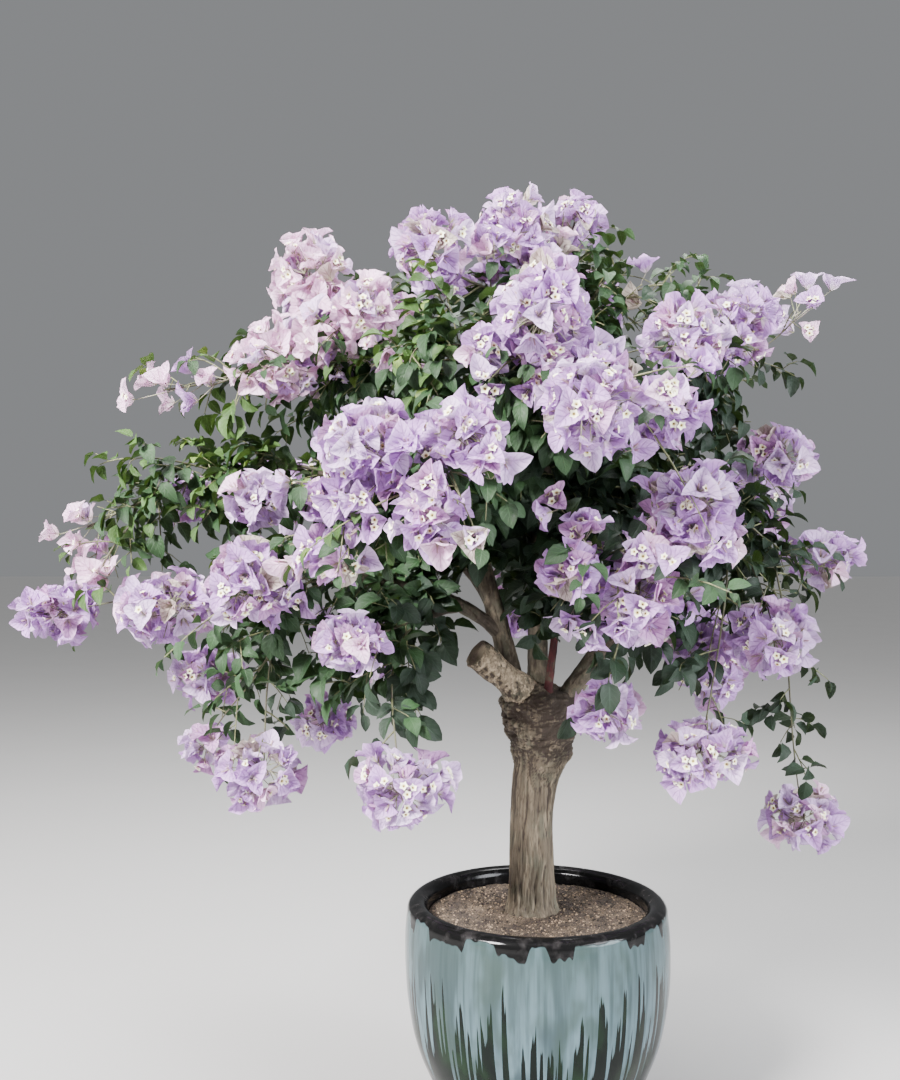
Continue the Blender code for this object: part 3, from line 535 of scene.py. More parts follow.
def glaze_finish():
    """Pale glaze that ran down over dark glaze in tongues and threads, under a dark rim."""
    look = settings("pot")
    finish = Finish("run_glaze", 0.16)
    here = finish.place()
    height = finish.axis(here, "Z")
    level = finish.squashed(here, 0.0)
    reach_out = finish.node("VectorMath", {"operation": "LENGTH"}, {0: level}, "Value")
    round_wall = finish.vector("NORMALIZE", level)

    # Where the pale runs end
    wide = finish.noise(round_wall, 3.4, 1.0)
    tongues = (finish.noise(round_wall, 7.5, 0.5) - 0.5).size() * 2.0
    fingers = finish.noise(round_wall, 25.0, 0.3).rise(0.47, 0.62)
    threads = finish.noise(round_wall, 60.0, 0.0).rise(0.40, 0.64)
    drop = (tongues + fingers * 0.42 + threads * 0.10) * look.run_drop
    over_edge = height - ((wide - 0.5) * 0.12 - drop + look.run_top)
    wobble = (finish.noise(finish.squashed(here, 0.25), 40.0, 2.0) - 0.5) * 0.008
    covered = (over_edge + wobble).rise(-0.001, 0.004)

    # Where the dark rim drips to
    drips = finish.noise(round_wall, 3.7, 0.0).rise(0.525, 0.60) * 0.014
    ripples = finish.noise(round_wall, 15.0, 0.0).rise(0.30, 0.75) * (0.003 + drips * 0.65)
    rim_edge = RIM_GLAZE - drips - ripples
    mouth = (reach_out - POT_MOUTH - 0.006).fall(-0.001, 0.001)
    rim = (height - rim_edge + wobble * 0.25).rise(-0.0010, 0.0010).larger(mouth)

    # Tones of the pale glaze, then of the dark ones and the bare foot
    streaks = finish.noise(finish.squashed(here, 0.07), 85.0, 3.0, 0.6)
    broad = finish.noise(finish.squashed(here, 0.22), 21.0, 2.0)
    cloud = finish.noise(finish.squashed(here, 0.55), 13.0, 3.0)
    pale = finish.washed(
        look.glaze,
        (streaks.rise(0.36, 0.66) * 0.6, look.glaze_light),
        (over_edge.fall(0.02, 0.16) * 0.55, look.glaze_light),
        (broad.rise(0.48, 0.62) * 0.75, tinted(look.glaze, 0.50)),
        (cloud.rise(0.46, 0.62) * 0.70, look.glaze_green),
        (height.rise(0.20, 0.36) * 0.45, look.glaze_green),
        (over_edge.fall(0.0, 0.012) * 0.5, look.glaze_green),
    )
    under = finish.mix(cloud.rise(0.45, 0.70), look.under, (0.008, 0.020, 0.009))
    mottle = finish.noise(here, 46.0).rise(0.50, 0.70)
    dark_rim = finish.mix(mottle, look.rim, (0.0135, 0.0125, 0.0125))
    foot = (height - BARE_FOOT + wobble * 0.3).rise(-0.001, 0.001)
    body = finish.mix(foot, look.clay, finish.washed(under, (covered, pale), (rim, dark_rim)))
    shine = look.gloss + (1.0 - foot) * 0.6 + cloud * 0.05 + rim * mottle * 0.16
    raised = covered * 0.6 + rim * 0.5 + streaks * 0.12 + finish.noise(here, 150.0, 2.0) * 0.06
    return finish.paint(body, shine, raised, 0.0013, 0.7)


def soil_finish(name, dry_share, light=1.0):
    """Damp earth with dry crumbs. Each kind of grain has its own dry share and lightness."""
    look = settings("soil")
    finish = Finish(name)
    here = finish.place()
    crumbs = finish.noise(here, 420.0, 3.0, 0.65)
    patches = finish.noise(here, 26.0, 3.0)
    grit = finish.cells(here, 520.0)
    share = (crumbs - 0.5) * 1.8 + (patches - 0.5) * 2.2 + dry_share
    earth = finish.washed(
        tinted(look.earth, light),
        (share.rise(0.0, 1.0), tinted(look.dry, light)),
        (grit.fall(0.10, 0.34) * 0.30, (0.34, 0.26, 0.17)),
        # Near black in the sunk gaps between crumbs: painted shade.
        (grit.rise(0.40, 0.70) * 0.70, (0.012, 0.008, 0.006)),
    )
    return finish.paint(earth, 0.97 - patches * 0.14, crumbs + grit * -0.8, 0.0018, 0.9)


def bark_finish(name, ridge, crevice, stretch, flake=1.0):
    """Fissured bark. The mesh's hollow value darkens its crevices and also holds painted shade on
    the burl and under the sawn stub.
    """
    finish = Finish(name)
    here = finish.place()
    hollow = finish.held("hollow")
    grain = finish.noise(finish.squashed(here, stretch), 330.0, 4.0, 0.65)
    plates = finish.noise(finish.squashed(here, stretch * 1.6), 110.0, 3.0, 0.6)
    patches = finish.noise(here, 24.0, 3.0)
    depth = hollow.rise(0.26, 0.80) * 0.95 + grain.fall(0.34, 0.54) * 0.60 * flake
    worn = finish.washed(
        ridge,
        (patches.rise(0.40, 0.66), settings("bark").lichen),
        (plates.rise(0.46, 0.62) * 0.70, tinted(ridge, 2.1)),
        (patches.fall(0.44, 0.56) * 0.30, tinted(ridge, 0.62)),
        (depth.smaller(1.0), crevice),
    )
    relief = grain * 0.7 + plates * 0.6 - hollow * 0.3
    return finish.paint(worn, 0.80 + grain * 0.16, relief, 0.0016, 0.85 * flake)


def cut_finish():
    """A sawn end, with growth rings by distance from its pith, which the mesh holds."""
    look = settings("bark")
    finish = Finish("cut_wood")
    pith = finish.held("pith")
    here = finish.place()
    warp = (finish.noise(here, 120.0) - 0.5) * 0.05
    rings = (pith * 9.0 + warp * 9.0).line(0.42)
    checks = finish.noise(here, 320.0, 4.0, 0.7)
    wood = finish.washed(
        look.cut,
        (rings * 0.45, tinted(look.cut, 0.45)),
        (checks.rise(0.52, 0.68) * 0.55, (0.10, 0.075, 0.05)),
        (pith.rise(0.86, 0.98), look.crevice),
    )
    return finish.paint(wood, 0.80 + checks * 0.15, rings * -0.5 + checks, 0.0008, 0.7)


def twig_finish(name, base, tip):
    finish = Finish(name)
    grain = finish.noise(finish.squashed(finish.place(), 0.5), 190.0, 3.0)
    bark = finish.mix(grain.rise(0.32, 0.66), base, tip)
    return finish.paint(bark, 0.55 + grain * 0.25, grain, 0.0006, 0.6)


def leaf_finish(name, base):
    """A waxy leaf: sunk midrib and side veins, and a lift or drop in tone by variant."""
    finish = Finish(name, 0.38)
    sheet, across, along_blade, chance = sheet_marks(finish)
    side_veins = (along_blade * 6.5 - across * 1.9 + chance).line(0.16) * across.fall(0.72, 0.96)
    ribs = (across.fall(0.025, 0.10) * 0.8).larger(side_veins * 0.40)
    blotch = finish.noise(sheet, 3.1, 3.0)
    net = finish.cells(sheet, 17.0, "DISTANCE_TO_EDGE").rise(0.0, 0.12)
    rib_tone = tinted(base, 1.8, 0.012)
    blade = finish.washed(
        tinted(base, 0.58),
        (chance, tinted(base, 1.55, 0.006)),
        (blotch.rise(0.34, 0.70) * 0.45, base),
        (ribs, rib_tone),
        (across.rise(0.90, 1.0) * 0.35, rib_tone),
    )
    rough = 0.40 + blotch * 0.18 + chance * 0.08
    finish.let_light_through(finish.mix(0.4, blade, (0.14, 0.24, 0.02)), 0.12)
    return finish.paint(blade, rough, ribs * -0.8 + net * 0.22, 0.0010, 0.8)


def bract_finish(name, base, vein):
    """A papery bract: pale heart, darker midrib, side veins and net, and pale edges."""
    finish = Finish(name)
    sheet, across, along_blade, chance = sheet_marks(finish)
    midrib = across.fall(0.02, 0.10) * (1.0 - along_blade.rise(0.70, 1.0) * 0.5)
    side_veins = (along_blade * 5.2 - across * 1.75 + chance * 0.7).line(0.17)
    side_veins = side_veins * across.fall(0.55, 1.0) * along_blade.rise(0.06, 0.22)
    net = finish.cells(sheet, 9.0, "DISTANCE_TO_EDGE").fall(0.0, 0.11)
    blotch = finish.noise(sheet, 2.3, 4.0)
    heart = along_blade.fall(0.04, 0.34) * (1.0 - across.rise(0.2, 0.9) * 0.6)
    pale = tinted(base, 0.72, 0.27)
    rich = tuple(c * r for c, r in zip(base, (0.86, 0.70, 0.88)))
    blade = finish.washed(
        finish.mix(0.35, base, rich),
        (chance, finish.mix(0.40, base, pale)),
        (blotch.rise(0.46, 0.74) * 0.55, rich),
        (across.rise(0.62, 1.0) * 0.45, pale),
        (heart * 0.80, (0.66, 0.66, 0.50)),
        ((midrib * 0.66).larger(side_veins * 0.48).larger(net * 0.15), vein),
    )
    height = midrib.larger(side_veins) * -1.0 - net * 0.3 + blotch * 0.9
    finish.let_light_through(blade, 0.29)
    return finish.paint(blade, 0.62 + blotch * 0.20, height, 0.0013, 0.85)


def flower_finish():
    """The true flower: a dark eye of painted shade down its tube, a yellow throat, cream lobes,
    and a green-mauve tube.
    """
    look = settings("bloom")
    finish = Finish("cream_flower")
    sheet = finish.sheet()
    out = finish.axis(sheet, "X")
    # The first stops paint the dark eye: shade down the flower's tube.
    stops = (
        (0.00, (0.030, 0.012, 0.010)),
        (0.16, (0.110, 0.055, 0.020)),
        (0.30, (0.620, 0.520, 0.160)),
        (0.52, look.flower),
        (1.00, tinted(look.flower, 1.10)),
    )
    lobes = finish.node("ValToRGB", {"stops": stops}, {0: out})
    stem = finish.mix(out, (0.300, 0.330, 0.150), (0.380, 0.220, 0.300))
    speck = finish.noise(sheet, 14.0, 2.0)
    petal = finish.washed(
        lobes,
        (finish.axis(sheet, "Y").rise(0.45, 0.55), stem),
        (speck.rise(0.40, 0.75) * 0.12, (0.50, 0.42, 0.22)),
    )
    return finish.paint(petal, 0.50 + speck * 0.2)


def floor_finish():
    look = settings("stage")
    finish = Finish("pale_floor")
    here = finish.place()
    mottle = finish.noise(here, 2.2, 5.0)
    shade = finish.mix(mottle.rise(0.35, 0.70) * 0.14, look.floor, tinted(look.floor, 0.9))
    speckle = finish.noise(here, 90.0, 2.0)
    return finish.paint(shade, 0.72 + mottle * 0.10, speckle, 0.0008, 0.25)


# ---- the plant's rule of growth ------------------------------------------------------------


def place(bearing, reach, height):
    turn = math.radians(bearing)
    return Vector((reach * math.sin(turn), -reach * math.cos(turn), height))


def along(points, share):
    """The point at this share of a Bezier curve with any number of control points."""
    points = list(points)
    while len(points) > 1:
        points = [a.lerp(b, share) for a, b in zip(points, points[1:])]
    return points[0]


def heading(points, share):
    step = 0.01
    ahead = along(points, min(share + step, 1.0))
    behind = along(points, max(share - step, 0.0))
    return (ahead - behind).normalized()


def curve_length(points, steps=8):
    marks = [along(points, step / steps) for step in range(steps + 1)]
    return sum((b - a).length for a, b in zip(marks, marks[1:]))


def sideways(direction):
    """A level direction square to this one."""
    level = direction.cross(UP)
    return level.normalized() if level.length > 0.1 else Vector((1.0, 0.0, 0.0))


def square_to(direction, turn):
    """A direction square to this one: the level one, turned this far round it."""
    across = sideways(direction)
    return across * math.cos(turn) + direction.cross(across) * math.sin(turn)


def turns_round(count):
    """This many turns, in radians, spread evenly round a circle."""
    return math.tau * np.arange(count) / count


def on_circle(turn, reach, height=0.0):
    return reach * math.cos(turn), reach * math.sin(turn), height


def scattered(rng, far):
    """A random vector that reaches no further than this along each axis."""
    return Vector([rng.uniform(-far, far) for _ in range(3)])


def tumbled(rng, turn=math.tau):
    """Axes turned at random."""
    return Euler([rng.uniform(0, turn) for _ in range(3)]).to_matrix()


def bough_curve(foot, tip, bow):
    return [foot, foot.lerp(tip, 0.42) + UP * bow, tip]


def bough_curves():
    """The centre line of each bough, by name."""
    curves = {}
    for name, foot, tip, bow, _root, _end in LEADERS:
        curves[name] = bough_curve(place(*foot), place(*tip), bow)
    for name, parent, share, tip, bow, _root, _end in ARMS:
        curves[name] = bough_curve(along(curves[parent], share), place(*tip), bow)
    return curves


def bough_radii():
    leaders = {name: radii for name, _foot, _tip, _bow, *radii in LEADERS}
    arms = {name: radii for name, _parent, _share, _tip, _bow, *radii in ARMS}
    return {**leaders, **arms}


def slot_starts(curves, radii):
    """Where each mass's stem starts: side by side on its bough's tip."""
    starts = {}
    for bough in dict.fromkeys(row[1] for row in MASSES):
        rows = [row for row in MASSES if row[1] == bough]
        tip, direction = curves[bough][-1], heading(curves[bough], 1.0)
        across = sideways(direction)
        upward = direction.cross(across)

        def bearing_round_tip(row):
            towards = place(*row[2][:3]) - tip
            return math.atan2(towards.dot(upward), towards.dot(across))

        rows.sort(key=bearing_round_tip)
        ring = radii[bough][1] * (0.62 if len(rows) > 1 else 0.0)
        first = bearing_round_tip(rows[0])
        for index, row in enumerate(rows):
            offset = square_to(direction, first + math.tau * index / len(rows)) * ring
            starts[row[0]] = (tip + offset - direction * STEM_ROOT, direction)
    return starts


def stem_curve(start, direction, end):
    """Leaves along its bough, then arches: a low end is reached from above, as it weeps."""
    span = (end - start).length
    slope = (end.z - start.z) / span
    outward = Vector((end.x - start.x, end.y - start.y, 0.0)).normalized()
    arrival = (outward * (1.0 - abs(slope)) + UP * slope).normalized()
    return [start, start + direction * span * 0.4, end - arrival * span * 0.35, end]


def swayed(stem, rng):
    """The same stem, bowed a little to one side and back."""
    start, leave, arrive, end = stem
    away = scattered(rng, SWAY) * (end - start).length
    return [start, leave + away, arrive - away, end]


def shoot_curve(start, direction, end):
    """A shoot that climbs away from its stem and bends over under its own weight."""
    span = (end - start).length
    return [start, start + direction * span * 0.30 + UP * span * 0.22, end + UP * span * 0.16, end]


def head_places():
    """Each mass's heads as [centre, radius], shrunk evenly where two masses' heads would meet."""
    heads = {}
    for name, _bough, *ends in MASSES:
        heads[name] = [[place(*end[:3]), end[3]] for end in ends if end]
    for first, second in list(itertools.combinations(heads, 2)) * 2:
        for one, other in itertools.product(heads[first], heads[second]):
            room = (one[0] - other[0]).length / (one[1] + other[1] + HEAD_ROOM)
            if one[1] and other[1] and room < 1.0:
                one[1] *= room
                other[1] *= room
    return heads


def twig_curve(stem, share, turn, length):
    """A twig rises off its stem at an angle, then droops."""
    start, forward = along(stem, share), heading(stem, share)
    direction = (forward * 0.55 + square_to(forward, turn) * 0.85 + UP * 0.15).normalized()
    bend = start + direction * length * 0.55
    return [start, bend, start + direction * length - UP * length * 0.22]


# ---- meshes --------------------------------------------------------------------------------


class Shape:
    """Points, triangles and, for each point, its place on the sheet of markings."""

    def __init__(self, points, faces, sheet=None):
        self.points = np.asarray(points, float)
        self.faces = np.asarray(faces, int)
        self.sheet = np.zeros((len(self.points), 2)) if sheet is None else np.asarray(sheet, float)

    def placed(self, axes, origin):
        """A copy whose x, y and z point along the rows of axes, from this origin."""
        return Shape(self.points @ np.asarray(axes) + np.asarray(origin), self.faces, self.sheet)


def merged(shapes):
    """Several shapes as one."""
    firsts = np.cumsum([0] + [len(shape.points) for shape in shapes[:-1]])
    return Shape(
        np.concatenate([shape.points for shape in shapes]),
        np.concatenate([shape.faces + first for shape, first in zip(shapes, firsts)]),
        np.concatenate([shape.sheet for shape in shapes]),
    )


def add_object(name, data, place_at=(0.0, 0.0, 0.0)):
    made = bpy.data.objects.new(name, data)
    made.location = place_at
    bpy.context.scene.collection.objects.link(made)
    return made


def make_piece(name, shape, materials, replaced, fields=None, second=None):
    """Makes one smooth mesh that rides on the root and stands for the nodes it replaces."""
    mesh = bpy.data.meshes.new(name)
    mesh.vertices.add(len(shape.points))
    mesh.vertices.foreach_set("co", shape.points.astype(np.float32).ravel())
    mesh.loops.add(shape.faces.size)
    mesh.loops.foreach_set("vertex_index", shape.faces.astype(np.int32).ravel())
    mesh.polygons.add(len(shape.faces))
    mesh.polygons.foreach_set("loop_start", np.arange(0, shape.faces.size, 3, dtype=np.int32))
    sheet = mesh.uv_layers.new(name="OFBake")
    sheet.data.foreach_set("uv", shape.sheet[shape.faces.ravel()].astype(np.float32).ravel())
    for field, values in (fields or {}).items():
        made = mesh.attributes.new(field, "FLOAT", "POINT")
        made.data.foreach_set("value", np.asarray(values, np.float32))
    for material in materials:
        mesh.materials.append(material)
    if second is not None:
        mesh.polygons.foreach_set("material_index", np.asarray(second, np.int32))
    mesh.update(calc_edges=True)
    mesh.shade_smooth()
    piece = add_object(name, mesh)
    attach(piece, "root")
    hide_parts(*replaced)


def ring_faces(rings, sides):
    """Triangles between successive rings of points that each close on themselves."""
    ring, side = np.meshgrid(np.arange(rings - 1), np.arange(sides), indexing="ij")
    here = (ring * sides + side).ravel()
    beside = (ring * sides + (side + 1) % sides).ravel()
    lower = np.stack([here, beside, beside + sides], axis=1)
    upper = np.stack([here, beside + sides, here + sides], axis=1)
    return np.concatenate([lower, upper])


def grid_faces(rows, columns):
    """Triangles of an open grid of points."""
    row, column = np.meshgrid(np.arange(rows - 1), np.arange(columns - 1), indexing="ij")
    here = (row * columns + column).ravel()
    lower = np.stack([here, here + 1, here + columns + 1], axis=1)
    upper = np.stack([here, here + columns + 1, here + columns], axis=1)
    return np.concatenate([lower, upper])


def cap_faces(first, sides, centre, up):
    """A fan that closes a ring, from its first point on, to its centre point."""
    side = np.arange(sides)
    fan = [side + first, (side + 1) % sides + first, np.full(sides, centre)]
    return np.stack(fan if up else fan[::-1], axis=1)


def closed_rings(points, sides, start, end):
    """Rings of points as one closed shape, with a fan to a point at its start and its end."""
    count = len(points)
    faces = [
        ring_faces(count // sides, sides),
        cap_faces(count - sides, sides, count, True),
        cap_faces(0, sides, count + 1, False),
    ]
    return Shape([*points, end, start], np.concatenate(faces))


def smooth_through(marks, values, at):
    """Reads a smooth curve through these marks."""
    marks, values = np.asarray(marks, float), np.asarray(values, float)
    slopes = np.gradient(values, marks)
    index = np.clip(np.searchsorted(marks, at, side="right") - 1, 0, len(marks) - 2)
    step = marks[index + 1] - marks[index]
    t = np.clip((at - marks[index]) / step, 0.0, 1.0)
    rise = values[index + 1] - values[index]
    start, end = slopes[index] * step, slopes[index + 1] * step
    return values[index] + t * start + t**2 * (3 * rise - 2 * start - end) + t**3 * (
        start + end - 2 * rise
    )


def curve_frames(curve, shares):
    """Along a curve: its points, directions, and two directions square to each."""
    across = sideways(heading(curve, shares[0]))
    rows = []
    for at in shares:
        forward = heading(curve, at)
        across = (across - forward * across.dot(forward)).normalized()
        rows.append((along(curve, at), forward, across, forward.cross(across)))
    return [np.array(column) for column in zip(*rows)]


def limb_tube(curve, root, tip, rings, sides):
    """A tapering tube along a curve, closed by a point just past its end."""
    shares = np.linspace(0.0, 1.0, rings)
    centres, forwards, acrosses, upwards = curve_frames(curve, shares)
    turns = turns_round(sides)
    radii = (root + (tip - root) * shares)[:, None, None]
    rim = acrosses[:, None] * np.cos(turns)[:, None] + upwards[:, None] * np.sin(turns)[:, None]
    points = (centres[:, None] + rim * radii).reshape(-1, 3)
    end = centres[-1] + forwards[-1] * radii[-1, 0, 0]
    cap = cap_faces((rings - 1) * sides, sides, len(points), True)
    round_tube = np.tile(np.arange(sides) / sides, rings)
    sheet = np.stack([round_tube, np.repeat(shares, sides) * 0.9], axis=1)
    faces = np.concatenate([ring_faces(rings, sides), cap])
    return Shape(np.vstack([points, end]), faces, np.vstack([sheet, [0.5, 0.95]]))


def tile_sheet(across, along_blade, tile):
    """Places on the sheet of markings for a blade: across from -1 to 1, along from 0 to 1."""
    room = 1.0 - 2 * TILE_INSET
    column, row = tile % TILES, tile // TILES
    u = (column + TILE_INSET + room * (across + 1.0) / 2) / TILES
    v = (row + TILE_INSET + room * along_blade) / TILES
    return np.stack([u, v], axis=-1)


def blade(rows, columns, width, midline, lift, tile):
    """A thin blade one unit long that closes to a point.

    width(v) is its half width, midline(v) its (out, up) place and lift(u, v, half) how far a
    point stands off the midline's surface. It grows along y, with x across and z upwards.
    """
    rows = np.asarray(rows, float)
    out, up = midline(rows)
    slope = np.stack([np.gradient(out, rows), np.gradient(up, rows)])
    slope /= np.linalg.norm(slope, axis=0)
    v, u = np.meshgrid(rows, np.linspace(-1.0, 1.0, columns), indexing="ij")
    half = np.repeat(width(rows)[:, None], columns, axis=1)
    raised = lift(u, v, half)
    beyond = out[:, None] - slope[1][:, None] * raised
    above = up[:, None] + slope[0][:, None] * raised
    points = np.stack([u * half, beyond, above], axis=-1)
    sheet = tile_sheet(u, v, tile)
    inner, middle = points[:-1].reshape(-1, 3), columns // 2
    last = len(inner) - columns
    side = np.arange(columns - 1)
    fan = np.stack([side + last, side + last + 1, np.full(columns - 1, len(inner))], axis=1)
    return Shape(
        np.vstack([inner, points[-1][middle]]),
        np.concatenate([grid_faces(len(rows) - 1, columns), fan]),
        np.vstack([sheet[:-1].reshape(-1, 2), sheet[-1][middle]]),
    )


def leaf_shape(rng, tile):
    """A leaf one unit long: folded, drooping and pointed, on a short stalk."""
    droop, fold = rng.uniform(0.10, 0.42), rng.uniform(0.10, 0.38)
    wave, phase = rng.uniform(0.00, 0.07), rng.uniform(*ANY_TURN)
    widest = rng.uniform(0.26, 0.34)
    stalk = 0.14

    def width(v):
        blade_part = np.clip((v - stalk) / (1.0 - stalk), 0.0, 1.0)
        outline = blade_part**0.58 * (1.0 - blade_part) ** 0.92
        return np.maximum(outline / 0.385 * widest, 0.014 * (v < 0.95))

    def midline(v):
        return v * (1.0 - 0.12 * droop), 0.06 * np.sin(v * 3.0) - droop * v**2.2

    def lift(u, v, half):
        edges = np.abs(u) * half * fold * 1.6
        return edges + wave * u * np.sin(9.0 * v + phase) * (half > 0.05)

    return blade((0.0, 0.13, 0.27, 0.45, 0.65, 0.85, 1.0), 3, width, midline, lift, tile)


def bract_shape(rng, tile, openness):
    """A bract one unit long, rising from the bloom's axis (z) and opening away from it."""
    steep = math.radians(rng.uniform(12, 30)) * openness
    spread = math.radians(rng.uniform(62, 88)) * openness
    curl = math.radians(rng.uniform(-12, 34))
    widest = rng.uniform(0.34, 0.42)
    fold, cup = rng.uniform(0.20, 0.72), rng.uniform(0.05, 0.28)
    waves = [(rng.uniform(0.05, 0.15), rng.uniform(4, 10), rng.uniform(*ANY_TURN)) for _ in "ab"]
    pleat, pleat_phase = rng.uniform(0.010, 0.026), rng.uniform(*ANY_TURN)

    def width(v):
        outline = (v + 0.010) ** 0.52 * (1.0 - v) ** 0.92
        return outline / 0.400 * widest

    def midline(v):
        fine = np.linspace(0.0, 1.0, 41)
        tilt = steep + (spread - steep) * np.minimum(fine / 0.55, 1.0) ** 0.8
        tilt = tilt + curl * np.clip((fine - 0.55) / 0.45, 0.0, 1.0) ** 1.5
        out = np.concatenate([[0.0], np.cumsum(np.sin(tilt[1:]) / 40)])
        up = np.concatenate([[0.0], np.cumsum(np.cos(tilt[1:]) / 40)])
        return np.interp(v, fine, out), np.interp(v, fine, up)

    def lift(u, v, half):
        raised = np.abs(u) ** 1.2 * half * fold + u**2 * half * cup
        for side, (height, beat, phase) in zip((-1, 1), waves):
            edge = np.clip(u * side, 0.0, 1.0) ** 2
            raised = raised + edge * height * np.sin(beat * v + phase) * np.sin(3.1 * v)
        ribs = np.sin(u * 7.0 + v * 8.0 * np.sign(u + 1e-6) + pleat_phase)
        return raised + pleat * ribs * np.sin(3.1 * v)

    rows = (0.0, 0.08, 0.21, 0.37, 0.54, 0.71, 0.87, 1.0)
    return blade(rows, 5, width, midline, lift, tile)


def turned_about_z(shape, turn):
    cosine, sine = math.cos(turn), math.sin(turn)
    return shape.placed(((cosine, sine, 0.0), (-sine, cosine, 0.0), UP), (0.0, 0.0, 0.0))


def bloom_shape(rng, first_tile, openness):
    """Three bracts round one axis, each with a length of its own."""
    bracts = []
    start = rng.uniform(0, math.tau)
    for index in range(3):
        bract = bract_shape(rng, (first_tile + index * 5) % (TILES * TILES), openness)
        size = rng.uniform(0.88, 1.10)
        shape = Shape(bract.points * size + (0.0, 0.03, 0.0), bract.faces, bract.sheet)
        turn = start + math.tau * index / 3 + rng.uniform(-0.16, 0.16)
        bracts.append(turned_about_z(shape, turn))
    return merged(bracts)


def flower_shape(rng, opened):
    """A true flower one unit tall: a swelling tube, and five lobes where it has opened."""
    sides, lobes = 4, 10
    rings = ((0.0, 0.06), (0.94, 0.095)) if opened else ((0.0, 0.06), (0.35, 0.105), (0.94, 0.075))
    points = [
        on_circle(turn, radius, height) for height, radius in rings for turn in turns_round(sides)
    ]
    sheet = [(height, 0.75) for height, _radius in rings for _ in range(sides)]
    if not opened:
        points.append((0.0, 0.0, 1.06))
        sheet.append((0.9, 0.75))
        cap = cap_faces(len(points) - 1 - sides, sides, len(points) - 1, True)
        return Shape(points, np.concatenate([ring_faces(3, sides), cap]), sheet)
    tube_part = Shape(points, ring_faces(2, sides), sheet)
    start = rng.uniform(*ANY_TURN)
    points, sheet = [(0.0, 0.0, 0.86)], [(0.0, 0.2)]
    for reach, height, u in ((0.12, 0.97, 0.35), (0.38, 1.03, 1.0)):
        is_edge = reach > 0.3
        for step in range(lobes):
            turn = start + math.tau * step / lobes
            notched = is_edge and step % 2
            out = reach * (0.66 if notched else 1.0)
            wave = rng.uniform(-0.04, 0.05) if is_edge else 0.0
            points.append(on_circle(turn, out, height + wave))
            sheet.append((u * (0.9 if notched else 1.0), 0.2))
    heart = cap_faces(1, lobes, 0, False)
    star = Shape(points, np.concatenate([heart, ring_faces(2, lobes) + 1]), sheet)
    return merged([tube_part, star])


# ---- the crown -----------------------------------------------------------------------------


